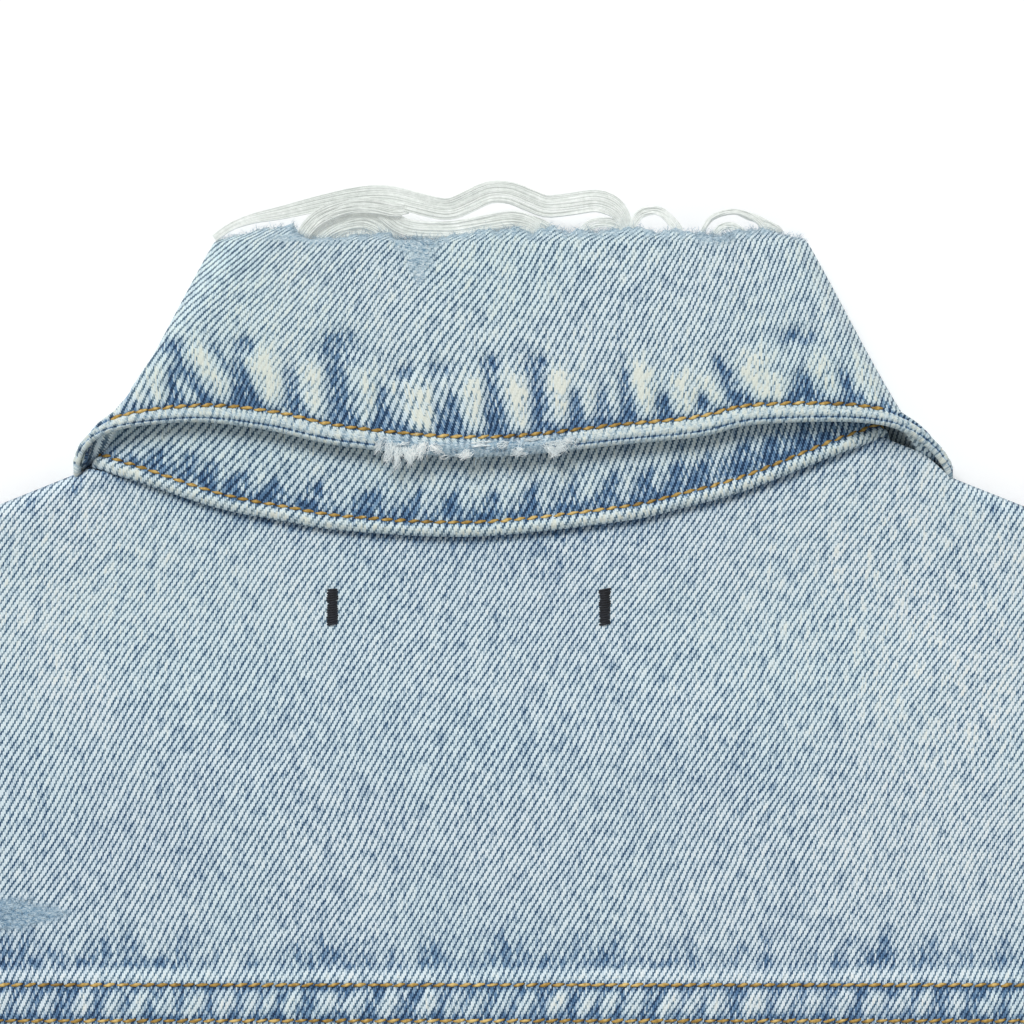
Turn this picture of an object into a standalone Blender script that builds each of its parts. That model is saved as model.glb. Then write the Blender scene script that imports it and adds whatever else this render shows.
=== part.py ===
"""A washed denim trucker jacket, buttoned up and laid flat on its front, back upwards.

Metres, +Z up. The collar points along +Y, and +X is the wearer's right. Every outline is
drawn from the middle of the back neck seam; at the end the whole jacket is moved so that
the origin is under the middle of its bounding box.
"""

import math

import bmesh
import bpy
import numpy as np

MM = 0.001

# Cloth
DENIM = 1.3 * MM  # one layer
DOUBLE = 2.4 * MM  # two layers sewn together: collar, waistband and cuffs
PRESSED = 1.6 * MM  # plackets and pocket flaps
SEAM_GAP = 0.3 * MM
LAYER_GAP = 0.8 * MM  # air between the front and the back
ROLL = 5.0 * MM  # radius at which the back turns down to the side seams
ROLL_STEPS = (0.0, 0.12, 0.45, 1.0)  # places of the points across that turn
TURN_INSET = 3.4 * MM  # how far the front ends inside the turned-down edge
TURN_LIFT = 0.8 * MM  # how far the turned-down edge stays off the layer below
PUFF = 2.2 * MM  # how much the back stands off the front
PLACKET_LUMP = 2.0 * MM  # how much it must, over the plackets

# Body, measured up from the middle of the back neck seam
BODY_LENGTH = 620 * MM
WAISTBAND_DEPTH = 40 * MM
HEM_HALF = 250 * MM
WAIST_HALF = 252 * MM
WAIST_Y = WAISTBAND_DEPTH - BODY_LENGTH
YOKE_Y = -103 * MM
FRONT_YOKE_Y = -135 * MM
SHOULDER_TIP = (235 * MM, -42 * MM)
UNDERARM = (272 * MM, -268 * MM)
ARMHOLE = (  # x, y in mm, from the yoke seam down to the underarm
    (221.5, -103.0),
    (218.0, -150.0),
    (224.0, -198.0),
    (242.0, -238.0),
    (272.0, -268.0),
)
BACK_SEAM_TOP = 150 * MM  # half the width of the centre back at the yoke
BACK_SEAM_FOOT = 85 * MM  # and at the waistband
BACK_NECK = (  # x, y in mm: the yoke's neck edge, tucked under the collar stand
    (-91.5, 13.0),
    (-82.0, 11.2),
    (-62.0, 9.0),
    (-34.0, 5.0),
    (-8.0, 3.7),
    (22.0, 6.5),
    (48.0, 11.5),
    (66.0, 14.4),
    (77.0, 15.6),
    (88.0, 16.0),
)
FRONT_NECK = (  # x, y in mm: the front's neck edge, from the shoulder to the placket
    (-91.5, 13.0),
    (-90.5, 2.0),
    (-84.0, -14.0),
    (-62.0, -42.0),
    (-20.3, -62.0),
)
RISE = 5.4 * MM  # the front is held off the surface by collar, flaps and buttons

# Front
PLACKET_HALF = 20 * MM
PLACKET_TOP = -70.5 * MM
FLAP_NEAR = 55 * MM
FLAP_WIDTH = 125 * MM
FLAP_SIDE = 44 * MM
FLAP_POINT = 60 * MM
FLAP_GAP = 0.5 * MM
BUTTON_RADIUS = 8.5 * MM
BUTTON_HEIGHT = 3.0 * MM
BUTTON_SIDES = 14
BUTTON_BEVEL = 0.7 * MM
BUTTON_FIRST_Y = -92 * MM
BUTTON_PITCH = 84 * MM
BUTTON_COUNT = 6

# Sleeves
SLEEVE_ANGLE = math.radians(52)  # away from the body
SLEEVE_OUTER = 600 * MM  # shoulder tip to cuff
SLEEVE_END = 118 * MM
SLEEVE_SEAM = 0.62  # where the back sleeve seam runs, as a share from the inner edge
SLEEVE_PUFF = 2.6 * MM
SLEEVE_CELLS = 17
ELBOW_BOW = 9 * MM
CUFF_DEPTH = 45 * MM
CUFF_WIDTH = 114 * MM
CUFF_HEIGHT = 2 * DOUBLE + 2.2 * MM
CUFF_CLEAR = 0.1 * MM
CUFF_BUTTON_INSET = 24 * MM

# Collar
LIP = 3.4 * MM  # radius of the rolled fold
LIP_ANGLES = (40, 80, 120, 150)  # degrees round the roll
LEAF_FRONT_Z = 0.0
STAND_FRONT_Z = DOUBLE + SEAM_GAP
STAND_BACK_Z = RISE + 2 * DENIM + LAYER_GAP + SEAM_GAP + DOUBLE
FOLD_BACK_Z = STAND_BACK_Z + DOUBLE + 0.6 * MM
LEAF_EDGE_Z = FOLD_BACK_Z + 2.4 * MM
LEAF_CROWN = 1.2 * MM
STAND_TOP_SHORT = 2.6 * MM  # how far the stand stops below the fold
COLLAR_SECTIONS = (
    # turn: 0 on the back, 1 underneath on the front; the rest in mm
    # turn, neck_x, neck_y, fold_x, fold_y, edge_x, edge_y
    (1.00, -6.0, -66.0, -9.0, -30.0, -48.0, -92.0),
    (1.00, -52.0, -46.0, -34.0, 10.0, -76.0, -46.0),
    (1.00, -80.0, -12.0, -52.0, 42.0, -90.0, -10.0),
    (0.95, -85.5, 6.5, -60.0, 57.5, -94.0, 12.5),
    (0.50, -89.5, 15.8, -63.5, 63.0, -96.0, 18.0),
    (0.05, -84.0, 15.2, -58.5, 63.6, -90.5, 22.5),
    (0.00, -66.0, 6.3, -45.0, 63.6, -71.7, 25.4),
    (0.00, -36.0, 0.9, -22.0, 63.2, -36.0, 19.8),
    (0.00, -8.0, -0.3, 0.0, 62.6, -6.0, 17.2),
    (0.00, 24.0, 3.0, 22.0, 63.0, 26.0, 20.2),
    (0.00, 52.0, 10.0, 45.0, 63.6, 56.0, 25.2),
    (0.05, 74.5, 19.2, 58.0, 63.8, 84.0, 23.4),
    (0.50, 82.5, 21.2, 63.0, 63.2, 96.0, 18.0),
    (0.95, 80.5, 8.0, 59.5, 57.5, 94.0, 11.5),
    (1.00, 78.0, -12.0, 52.0, 42.0, 90.0, -10.0),
    (1.00, 52.0, -46.0, 34.0, 10.0, 76.0, -46.0),
    (1.00, 6.0, -66.0, 9.0, -30.0, 48.0, -92.0),
)
SECTION_CELLS = 2  # cells between two sections
LEAF_ROWS = (0.0, 0.12, 0.4, 0.7, 1.0)
STAND_ROWS = (0.0, 0.3, 0.65, 1.0)

# Loose weft yarns along the worn fold
STRIP_RADIUS = 0.9 * MM
LOCK_RADIUS = 0.45 * MM
LOCK_POINTS = 9
LOCK_STEP = 1.5 * MM  # between the roots of neighbouring locks
YARN_BUNDLES = (
    # start_x, end_x, rise, sway in mm, waves, crest (share of the length), locks
    (-60.5, 27.5, 7.4, 2.3, 3.2, 0.35, 3),
    (-47.0, -21.0, 6.0, 0.0, 1.0, 0.50, 2),
    (-30.0, 7.0, 3.2, 1.0, 1.2, 0.80, 2),
    (10.0, 21.5, 3.4, 0.0, 1.0, 0.50, 1),
    (30.5, 39.5, 4.4, 0.0, 1.0, 0.50, 1),
    (43.5, 55.0, 4.6, 0.0, 1.0, 0.50, 2),
)

# Soft folds of the cloth as it lies
BACK_FOLDS = (
    # x, y, heading in degrees, half length, half width, height, all lengths in mm
    (-105.0, -330.0, 96.0, 170.0, 20.0, 3.2),
    (118.0, -300.0, 82.0, 150.0, 18.0, 3.0),
    (-20.0, -430.0, 88.0, 130.0, 26.0, 2.6),
    (-205.0, -290.0, 128.0, 90.0, 16.0, 3.4),
    (208.0, -310.0, 50.0, 95.0, 16.0, 3.4),
    (60.0, -520.0, 95.0, 60.0, 14.0, 2.2),
    (-165.0, -500.0, 84.0, 80.0, 16.0, 2.6),
    (175.0, -480.0, 98.0, 90.0, 18.0, 2.6),
)
RIGHT_SLEEVE_FOLDS = (
    # share across from the left, share along from the cuff, then as above
    (0.55, 0.80, 112.0, 80.0, 15.0, 3.4),
    (0.45, 0.62, 70.0, 78.0, 14.0, 4.0),
    (0.60, 0.52, 28.0, 66.0, 13.0, 3.6),
    (0.40, 0.36, 84.0, 62.0, 12.0, 3.4),
    (0.58, 0.24, 18.0, 52.0, 12.0, 3.2),
    (0.45, 0.12, 66.0, 44.0, 11.0, 2.8),
)
LEFT_SLEEVE_FOLDS = (
    (0.50, 0.78, 64.0, 82.0, 15.0, 3.4),
    (0.40, 0.60, 118.0, 76.0, 14.0, 4.0),
    (0.55, 0.49, 146.0, 70.0, 14.0, 3.8),
    (0.62, 0.33, 92.0, 60.0, 12.0, 3.4),
    (0.45, 0.22, 160.0, 52.0, 12.0, 3.0),
    (0.52, 0.10, 112.0, 44.0, 11.0, 2.8),
)

COLOURS = {  # base colour, roughness, metallic
    "denim": ((0.42, 0.53, 0.64, 1), 0.9, 0.0),
    "collar_denim": ((0.50, 0.60, 0.67, 1), 0.9, 0.0),
    "weft_yarn": ((0.74, 0.77, 0.74, 1), 0.95, 0.0),
    "button_metal": ((0.42, 0.33, 0.22, 1), 0.4, 0.9),
}


# Small tools
def smooth(t):
    t = min(max(t, 0.0), 1.0)
    return t * t * (3 - 2 * t)


def spline(points):
    """A smooth curve through the points, as a function of 0 to 1."""
    given = np.array(points, float)
    spans = len(given) - 1
    ends = np.vstack([2 * given[0] - given[1], given, 2 * given[-1] - given[-2]])

    def at(t):
        i = min(int(t * spans), spans - 1)
        f = t * spans - i
        a, b, c, d = ends[i : i + 4]
        cubic = (3 * b - a - 3 * c + d) * f**3
        return 0.5 * (2 * b + (c - a) * f + (2 * a - 5 * b + 4 * c - d) * f**2 + cubic)

    return at


def line(start, end):
    a, b = np.array(start, float), np.array(end, float)
    return lambda t: a + (b - a) * t


def chain(*pieces):
    """Curves one after another, each given as (share of the whole, curve)."""

    def at(t):
        begun = 0.0
        for share, curve in pieces:
            if t <= begun + share + 1e-9:
                return curve(min((t - begun) / share, 1.0))
            begun += share
        return pieces[-1][1](1.0)

    return at


def turned(curve):
    return lambda t: curve(1 - t)


def offset(curve, distance):
    """The curve moved to its right by a distance."""

    def at(t):
        way = curve(min(t + 0.01, 1.0)) - curve(max(t - 0.01, 0.0))
        return curve(t) + distance * np.array((way[1], -way[0])) / np.linalg.norm(way)

    return at


def patch(bottom, top, left, right):
    """The flat cut between four edge curves, as a function of u across and v up."""
    corners = bottom(0), bottom(1), top(0), top(1)

    def at(u, v):
        sides = (1 - u) * left(v) + u * right(v)
        ends = (1 - v) * bottom(u) + v * top(u)
        low = (1 - u) * corners[0] + u * corners[1]
        high = (1 - u) * corners[2] + u * corners[3]
        return sides + ends - (1 - v) * low - v * high

    return at


def mirrored(cut):
    """The same cut on the wearer's left, still running from left to right."""
    return lambda u, v: cut(1 - u, v) * np.array((-1.0, 1.0))


def even(count, start=0.0, end=1.0):
    return [start + (end - start) * i / count for i in range(count + 1)]


def with_roll(places, span, low=False, high=False):
    """Adds the points that a turned-down edge needs at one or both ends of a row."""
    steps = [ROLL * step / span for step in ROLL_STEPS]
    inside = [p for p in places if not (low and p < steps[-1] * 1.6)]
    inside = [p for p in inside if not (high and p > 1 - steps[-1] * 1.6)]
    return (steps if low else []) + inside + ([1 - s for s in reversed(steps)] if high else [])


def fold_height(x, y, folds):
    """The height that the soft folds in a table add at one place."""
    total = 0.0
    for fold_x, fold_y, heading, half_length, half_width, height in folds:
        angle = math.radians(heading)
        dx, dy = x / MM - fold_x, y / MM - fold_y
        along = (dx * math.cos(angle) + dy * math.sin(angle)) / half_length
        across = (dy * math.cos(angle) - dx * math.sin(angle)) / half_width
        if abs(along) < 1:
            total += height * MM * (1 - along**2) ** 2 * math.exp(-(across**2))
    return total


# Heights of the layers
BODY_SIDE = (  # half width of the body in mm, y in mm, from the hem up
    (HEM_HALF / MM, -BODY_LENGTH / MM),
    (WAIST_HALF / MM, WAIST_Y / MM),
    *ARMHOLE[::-1],
    (SHOULDER_TIP[0] / MM, SHOULDER_TIP[1] / MM),
)


def side_room(x, y):
    halves, heights = zip(*BODY_SIDE)
    return float(np.interp(y / MM, heights, halves)) * MM - abs(x)


def shoulder_room(x, y):
    slope = (15 * MM - SHOULDER_TIP[1]) / (SHOULDER_TIP[0] - 88 * MM)
    return 15 * MM - slope * (abs(x) - 88 * MM) - y


def front_rise(x, y):
    """Height of the front's outer face, which is turned to the surface."""
    hem = max(smooth((y - WAIST_Y) / 0.06), smooth((0.09 - abs(x)) / 0.05))
    middle = smooth(side_room(x, y) / 0.07) * hem * smooth(shoulder_room(x, y) / 0.05)
    collar = smooth((0.20 - math.hypot(x, y + 0.03)) / 0.08)
    return RISE * max(middle, collar)


def back_top(x, y):
    """Height of the back's outer face, before its edges turn down."""
    off_neck = smooth((-y - 0.008) / 0.05)
    loose = smooth(side_room(x, y) / 0.06) * off_neck * smooth((y - WAIST_Y) / 0.05)
    folds = fold_height(x, y, BACK_FOLDS) * smooth((side_room(x, y) - 0.006) / 0.02)
    over_placket = PLACKET_LUMP * smooth((0.045 - abs(x)) / 0.022) * off_neck
    low = front_rise(x, y) + 2 * DENIM + LAYER_GAP
    return low + max(PUFF * loose, over_placket) + folds * smooth((y - WAIST_Y) / 0.03)


def waistband_top(x, y):
    return front_rise(x, y) + 2 * DOUBLE + LAYER_GAP


def turned_down(full, below, distance):
    """Height near an edge that rolls down from full to just above the layer below."""
    share = min(distance / ROLL, 1.0)
    low = below + TURN_LIFT
    return low + (full - low) * math.sqrt(1 - (1 - share) ** 2)


# Making objects
def make_material(name):
    colour, roughness, metallic = COLOURS[name]
    material = bpy.data.materials.new(name)
    material.use_nodes = True
    shader = material.node_tree.nodes["Principled BSDF"]
    shader.inputs["Base Color"].default_value = colour
    shader.inputs["Roughness"].default_value = roughness
    shader.inputs["Metallic"].default_value = metallic
    material.diffuse_color = colour
    return material


def place_in_jacket(obj, material):
    obj.data.materials.append(bpy.data.materials[material])
    for linked in list(obj.users_collection):
        linked.objects.unlink(obj)
    bpy.data.collections["trucker_jacket"].objects.link(obj)
    return obj


def cloth(name, columns, rows, place, thickness, material="denim", face_down=False):
    """A wall of cloth: a grid whose points go where place(u, v) says, given a thickness inwards."""
    grid = bmesh.new()
    bmesh.ops.create_grid(grid, x_segments=len(columns) - 1, y_segments=len(rows) - 1, size=1)
    reach = max(vert.co.x for vert in grid.verts)
    for vert in grid.verts:
        i = round((vert.co.x / reach + 1) / 2 * (len(columns) - 1))
        j = round((vert.co.y / reach + 1) / 2 * (len(rows) - 1))
        vert.co = place(columns[i], rows[j])
    if face_down:
        bmesh.ops.reverse_faces(grid, faces=grid.faces)
    mesh = bpy.data.meshes.new(name)
    grid.to_mesh(mesh)
    grid.free()
    mesh.shade_smooth()
    obj = place_in_jacket(bpy.data.objects.new(name, mesh), material)
    wall = obj.modifiers.new("wall", "SOLIDIFY")
    wall.thickness = thickness
    wall.offset = -1
    return obj


def laid(cut, height):
    """Points of a flat cut at the height of its layer."""

    def place(u, v):
        x, y = cut(u, v)
        return x, y, height(x, y)

    return place


def laid_and_turned(cut, height, rolls):
    """As laid, with the edges in rolls turned down: each is (edge point of u, v; weight of u, v)."""

    def place(u, v):
        x, y = cut(u, v)
        z = height(x, y)
        for edge, weight in rolls:
            distance = float(np.linalg.norm(cut(u, v) - cut(*edge(u, v))))
            down = turned_down(z, front_rise(x, y), distance)
            z += (down - z) * weight(u, v)
        return x, y, z

    return place


def to_left(u, v):
    return 0.0, v


def to_right(u, v):
    return 1.0, v


def to_top(u, v):
    return u, 1.0


def whole(u, v):
    return 1.0


def pair(name, cut, columns, rows, place_for, thickness, face_down=False):
    """The same piece on the wearer's right and left."""
    other = [1 - u for u in reversed(columns)]
    cloth(name + "_right", columns, rows, place_for(cut, 1), thickness, face_down=face_down)
    left = place_for(mirrored(cut), -1)
    cloth(name + "_left", other, rows, left, thickness, face_down=face_down)


# Back
SHOULDER_CELLS, NECK_CELLS = 6, 16
YOKE_SHARES = [n / (2 * SHOULDER_CELLS + NECK_CELLS) for n in (SHOULDER_CELLS, NECK_CELLS)]
YOKE_ROWS = [0.0, 0.2, 0.4, 0.6, 0.78, 0.9, 0.95, 0.98, 0.993, 1.0]
ARM_CELLS = 7


def yoke_cut():
    tip_x, tip_y = SHOULDER_TIP
    neck = np.array(BACK_NECK) * MM
    half = ARMHOLE[0][0] * MM
    foot = YOKE_Y + SEAM_GAP
    top = chain(
        (YOKE_SHARES[0], line((-tip_x, tip_y), neck[0])),
        (YOKE_SHARES[1], spline(neck)),
        (YOKE_SHARES[0], line(neck[-1], (tip_x, tip_y))),
    )
    sides = [line((s * half, foot), (s * tip_x, tip_y)) for s in (-1, 1)]
    return patch(line((-half, foot), (half, foot)), top, *sides)


def build_back():
    columns = even(2 * SHOULDER_CELLS + NECK_CELLS)

    def on_shoulder(u, v):
        return 1.0 if min(u, 1 - u) <= YOKE_SHARES[0] + 1e-6 else 0.0

    yoke = laid_and_turned(yoke_cut(), back_top, [(to_top, on_shoulder)])
    cloth("back_yoke", columns, YOKE_ROWS, yoke, DENIM)

    foot = WAIST_Y + SEAM_GAP
    centre = patch(
        line((-BACK_SEAM_FOOT, foot), (BACK_SEAM_FOOT, foot)),
        line((-BACK_SEAM_TOP, YOKE_Y), (BACK_SEAM_TOP, YOKE_Y)),
        line((-BACK_SEAM_FOOT, foot), (-BACK_SEAM_TOP, YOKE_Y)),
        line((BACK_SEAM_FOOT, foot), (BACK_SEAM_TOP, YOKE_Y)),
    )
    cloth("back_centre", even(10), even(18), laid(centre, back_top), DENIM)

    armhole = turned(spline(np.array(ARMHOLE) * MM))
    side_cells = 11
    arm_share = ARM_CELLS / (side_cells + ARM_CELLS)
    outer = chain(
        (1 - arm_share, line((WAIST_HALF, foot), UNDERARM)),
        (arm_share, armhole),
    )
    inner_foot = BACK_SEAM_FOOT + SEAM_GAP
    inner_top = BACK_SEAM_TOP + SEAM_GAP
    side = patch(
        line((inner_foot, foot), (WAIST_HALF, foot)),
        line((inner_top, YOKE_Y), np.array(ARMHOLE[0]) * MM),
        line((inner_foot, foot), (inner_top, YOKE_Y)),
        outer,
    )

    def below_arm(u, v):
        return smooth((1 - arm_share + 0.02 - v) / 0.04)

    def place_side(cut, hand):
        edge = to_right if hand > 0 else to_left
        return laid_and_turned(cut, back_top, [(edge, below_arm)])

    columns = with_roll(even(7), 130 * MM, high=True)
    pair("back_side", side, columns, even(side_cells + ARM_CELLS), place_side, DENIM)


# Front, underneath
def build_front():
    tip = np.array(SHOULDER_TIP) - TURN_INSET * np.array((1.0, 1.6))
    neck = np.array(FRONT_NECK) * np.array((-MM, MM))
    inner = PLACKET_HALF + SEAM_GAP
    arm = np.array(ARMHOLE) * MM - TURN_INSET * np.array((1.5, 0.0))
    seam_x = float(np.interp(-FRONT_YOKE_Y, -arm[:, 1], arm[:, 0]))
    shoulder_share = 0.45
    shoulder_start = neck[0] - np.array((0.0, TURN_INSET))
    yoke = patch(
        line((inner, FRONT_YOKE_Y), (seam_x, FRONT_YOKE_Y)),
        chain(
            (1 - shoulder_share, spline([*neck[:0:-1], shoulder_start])),
            (shoulder_share, line(shoulder_start, tip)),
        ),
        line((inner, FRONT_YOKE_Y), neck[-1]),
        line((seam_x, FRONT_YOKE_Y), tip),
    )

    def place_front(cut, hand):
        return laid(cut, front_rise)

    pair("front_yoke", yoke, even(14), even(6), place_front, DENIM, face_down=True)

    top = FRONT_YOKE_Y - SEAM_GAP
    foot = WAIST_Y + SEAM_GAP
    under = (UNDERARM[0] - 2 * TURN_INSET, UNDERARM[1])
    arm_edge = spline([under, *arm[-2:1:-1], (seam_x, top)])
    panel = patch(
        line((inner, foot), (WAIST_HALF - TURN_INSET, foot)),
        line((inner, top), (seam_x, top)),
        line((inner, foot), (inner, top)),
        chain((0.7, line((WAIST_HALF - TURN_INSET, foot), under)), (0.3, arm_edge)),
    )
    pair("front_panel", panel, even(7), even(14), place_front, DENIM, face_down=True)

    flap_foot = FRONT_YOKE_Y - FLAP_SIDE
    flap_far = FLAP_NEAR + FLAP_WIDTH
    tip_at = (FLAP_NEAR + FLAP_WIDTH / 2, FRONT_YOKE_Y - FLAP_POINT)
    flap = patch(
        chain(
            (0.5, line((FLAP_NEAR, flap_foot), tip_at)),
            (0.5, line(tip_at, (flap_far, flap_foot))),
        ),
        line((FLAP_NEAR, FRONT_YOKE_Y), (flap_far, FRONT_YOKE_Y)),
        line((FLAP_NEAR, flap_foot), (FLAP_NEAR, FRONT_YOKE_Y)),
        line((flap_far, flap_foot), (flap_far, FRONT_YOKE_Y)),
    )

    def place_flap(cut, hand):
        return laid(cut, lambda x, y: front_rise(x, y) - FLAP_GAP - PRESSED)

    pair("pocket_flap", flap, even(6), even(3), place_flap, PRESSED, face_down=True)
    for hand, side in ((1, "right"), (-1, "left")):
        x, y = hand * tip_at[0], tip_at[1] + 16 * MM
        foot_z = front_rise(x, y) - FLAP_GAP - PRESSED - SEAM_GAP - BUTTON_HEIGHT
        button("flap_button_" + side, x, y, foot_z)


def build_plackets():
    foot = WAIST_Y + SEAM_GAP

    def strip(half):
        return patch(
            line((-half, foot), (half, foot)),
            line((-half, PLACKET_TOP), (half, PLACKET_TOP)),
            line((-half, foot), (-half, PLACKET_TOP)),
            line((half, foot), (half, PLACKET_TOP)),
        )

    outer = laid(strip(PLACKET_HALF), front_rise)
    cloth("placket_buttonhole", even(2), even(16), outer, PRESSED, face_down=True)
    lift = PRESSED + SEAM_GAP
    inner = laid(strip(PLACKET_HALF - MM), lambda x, y: front_rise(x, y) + lift)
    cloth("placket_button", even(2), even(16), inner, PRESSED, face_down=True)
    for i in range(BUTTON_COUNT):
        y = BUTTON_FIRST_Y - i * BUTTON_PITCH
        if i == BUTTON_COUNT - 1:
            y = WAIST_Y - WAISTBAND_DEPTH / 2
        foot_z = front_rise(0, y) - SEAM_GAP - BUTTON_HEIGHT
        button(f"front_button_{i + 1}", 0, y, foot_z)


def button(name, x, y, foot_z):
    """A sewn-through tack button: a round cap with a softened rim."""
    bpy.ops.mesh.primitive_cylinder_add(
        vertices=BUTTON_SIDES, radius=BUTTON_RADIUS, depth=BUTTON_HEIGHT
    )
    cap = bpy.context.object
    cap.name = name
    cap.location = (x, y, foot_z + BUTTON_HEIGHT / 2)
    rim = cap.modifiers.new("rim", "BEVEL")
    rim.width = BUTTON_BEVEL
    rim.segments = 1
    place_in_jacket(cap, "button_metal")


# Waistband
def build_waistband():
    foot = -BODY_LENGTH
    back = patch(
        line((-HEM_HALF, foot), (HEM_HALF, foot)),
        line((-WAIST_HALF, WAIST_Y), (WAIST_HALF, WAIST_Y)),
        line((-HEM_HALF, foot), (-WAIST_HALF, WAIST_Y)),
        line((HEM_HALF, foot), (WAIST_HALF, WAIST_Y)),
    )
    columns = with_roll(even(24), 2 * HEM_HALF, low=True, high=True)
    rolls = [(to_left, whole), (to_right, whole)]
    place = laid_and_turned(back, waistband_top, rolls)
    cloth("waistband_back", columns, even(3), place, DOUBLE)

    inset = DOUBLE + 1.2 * MM
    spans = {
        "waistband_front_left": (inset - HEM_HALF, PLACKET_HALF),
        "waistband_front_right": (PLACKET_HALF + SEAM_GAP, HEM_HALF - inset),
    }
    for name, (start, end) in spans.items():
        strip = patch(
            line((start, foot), (end, foot)),
            line((start, WAIST_Y), (end, WAIST_Y)),
            line((start, foot), (start, WAIST_Y)),
            line((end, foot), (end, WAIST_Y)),
        )
        cloth(name, even(14), even(2), laid(strip, front_rise), DOUBLE, face_down=True)


# Sleeves
SLEEVE_WAY = np.array((math.sin(SLEEVE_ANGLE), -math.cos(SLEEVE_ANGLE)))
SLEEVE_SIDE = np.array((math.cos(SLEEVE_ANGLE), math.sin(SLEEVE_ANGLE)))
CUFF_OUTER = np.array(SHOULDER_TIP) + SLEEVE_OUTER * SLEEVE_WAY
CUFF_INNER = CUFF_OUTER - SLEEVE_END * SLEEVE_SIDE


def bowed(start, end, bow):
    """A line between two points that bows to its left by that much halfway."""
    a, b = np.array(start, float), np.array(end, float)
    way = (b - a) / np.linalg.norm(b - a)
    off = np.array((-way[1], way[0])) * bow
    return lambda t: a + (b - a) * t + off * math.sin(math.pi * t)


def sleeve_cut(head_gap, side_inset):
    """The sleeve as it lies, from the cuff (v 0) to the armhole (v 1), inner edge to outer."""
    lower = offset(spline(np.array(ARMHOLE[::-1]) * MM), head_gap)
    upper = offset(line(np.array(ARMHOLE[0]) * MM, SHOULDER_TIP), head_gap)
    inset = side_inset * SLEEVE_SIDE
    head = chain((SLEEVE_SEAM, lower), (1 - SLEEVE_SEAM, upper))
    inner_top, outer_top = head(0) + inset, head(1) - inset
    start, end = CUFF_INNER + inset, CUFF_OUTER - inset

    def top(u):
        return head(u) + inset * (1 - 2 * u)

    return patch(
        line(start, end),
        top,
        bowed(start, inner_top, -ELBOW_BOW),
        bowed(end, outer_top, -ELBOW_BOW),
    )


def sleeve_height(cut, folds):
    """Height of the sleeve's upper face as a function of u and v."""

    def at(u, v):
        x, y = cut(u, v)
        full = smooth((1 - v) / 0.12) * smooth(min(u, 1 - u) / 0.16)
        edge = smooth((min(u, 1 - u) - 0.03) / 0.12) * smooth((1 - v) / 0.08) * smooth(v / 0.04)
        return 2 * DENIM + LAYER_GAP + SLEEVE_PUFF * full + edge * fold_height(x, y, folds)

    return at


def build_sleeve(hand, side):
    own = sleeve_cut(SEAM_GAP * 1.3, 0.0)
    cut = own if hand > 0 else mirrored(own)
    table = RIGHT_SLEEVE_FOLDS if hand > 0 else LEFT_SLEEVE_FOLDS
    height = sleeve_height(cut, [(*cut(u, v) / MM, *rest) for u, v, *rest in table])

    def place(u, v):
        x, y = cut(u, v)
        z = height(u, v)
        below_head = smooth((1 - v) / 0.03)
        for edge in (0.0, 1.0):
            distance = float(np.linalg.norm(cut(u, v) - cut(edge, v)))
            z += (turned_down(z, 0.0, distance) - z) * below_head
        return x, y, z

    rows = [*even(SLEEVE_CELLS)[:-1], 0.985, 1.0]
    width = 150 * MM
    inner = [SLEEVE_SEAM * i / ARM_CELLS for i in range(1, ARM_CELLS + 1)]
    inner = [ROLL * step / width for step in ROLL_STEPS] + inner
    split = SLEEVE_SEAM + SEAM_GAP / SLEEVE_END
    outer = [SLEEVE_SEAM + (1 - SLEEVE_SEAM) * v for v in YOKE_ROWS[1:]]
    pieces = {"sleeve_back_inner_": inner, "sleeve_back_outer_": [split, *outer]}
    for name, columns in pieces.items():
        across = columns if hand > 0 else [1 - u for u in reversed(columns)]
        cloth(name + side, across, rows, place, DENIM)

    under = sleeve_cut(3 * MM, TURN_INSET)
    under = under if hand > 0 else mirrored(under)
    flat = laid(under, lambda x, y: 0.0)
    cloth("sleeve_front_" + side, even(8), even(10), flat, DENIM, face_down=True)


def stadium(width, height):
    """Points round a flat ring with round ends, as (across, up)."""
    radius = height / 2
    flat = width / 2 - radius
    ends = [math.radians(a) for a in (-90, -45, 0, 45, 90)]
    right = [(flat + radius * math.cos(a), radius + radius * math.sin(a)) for a in ends]
    top = [(flat * s, height) for s in (0.4, -0.4)]
    left = [(-x, 2 * radius - z) for x, z in right]
    bottom = [(flat * s, 0.0) for s in (-0.4, 0.4)]
    return right + top + left + bottom


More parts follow.
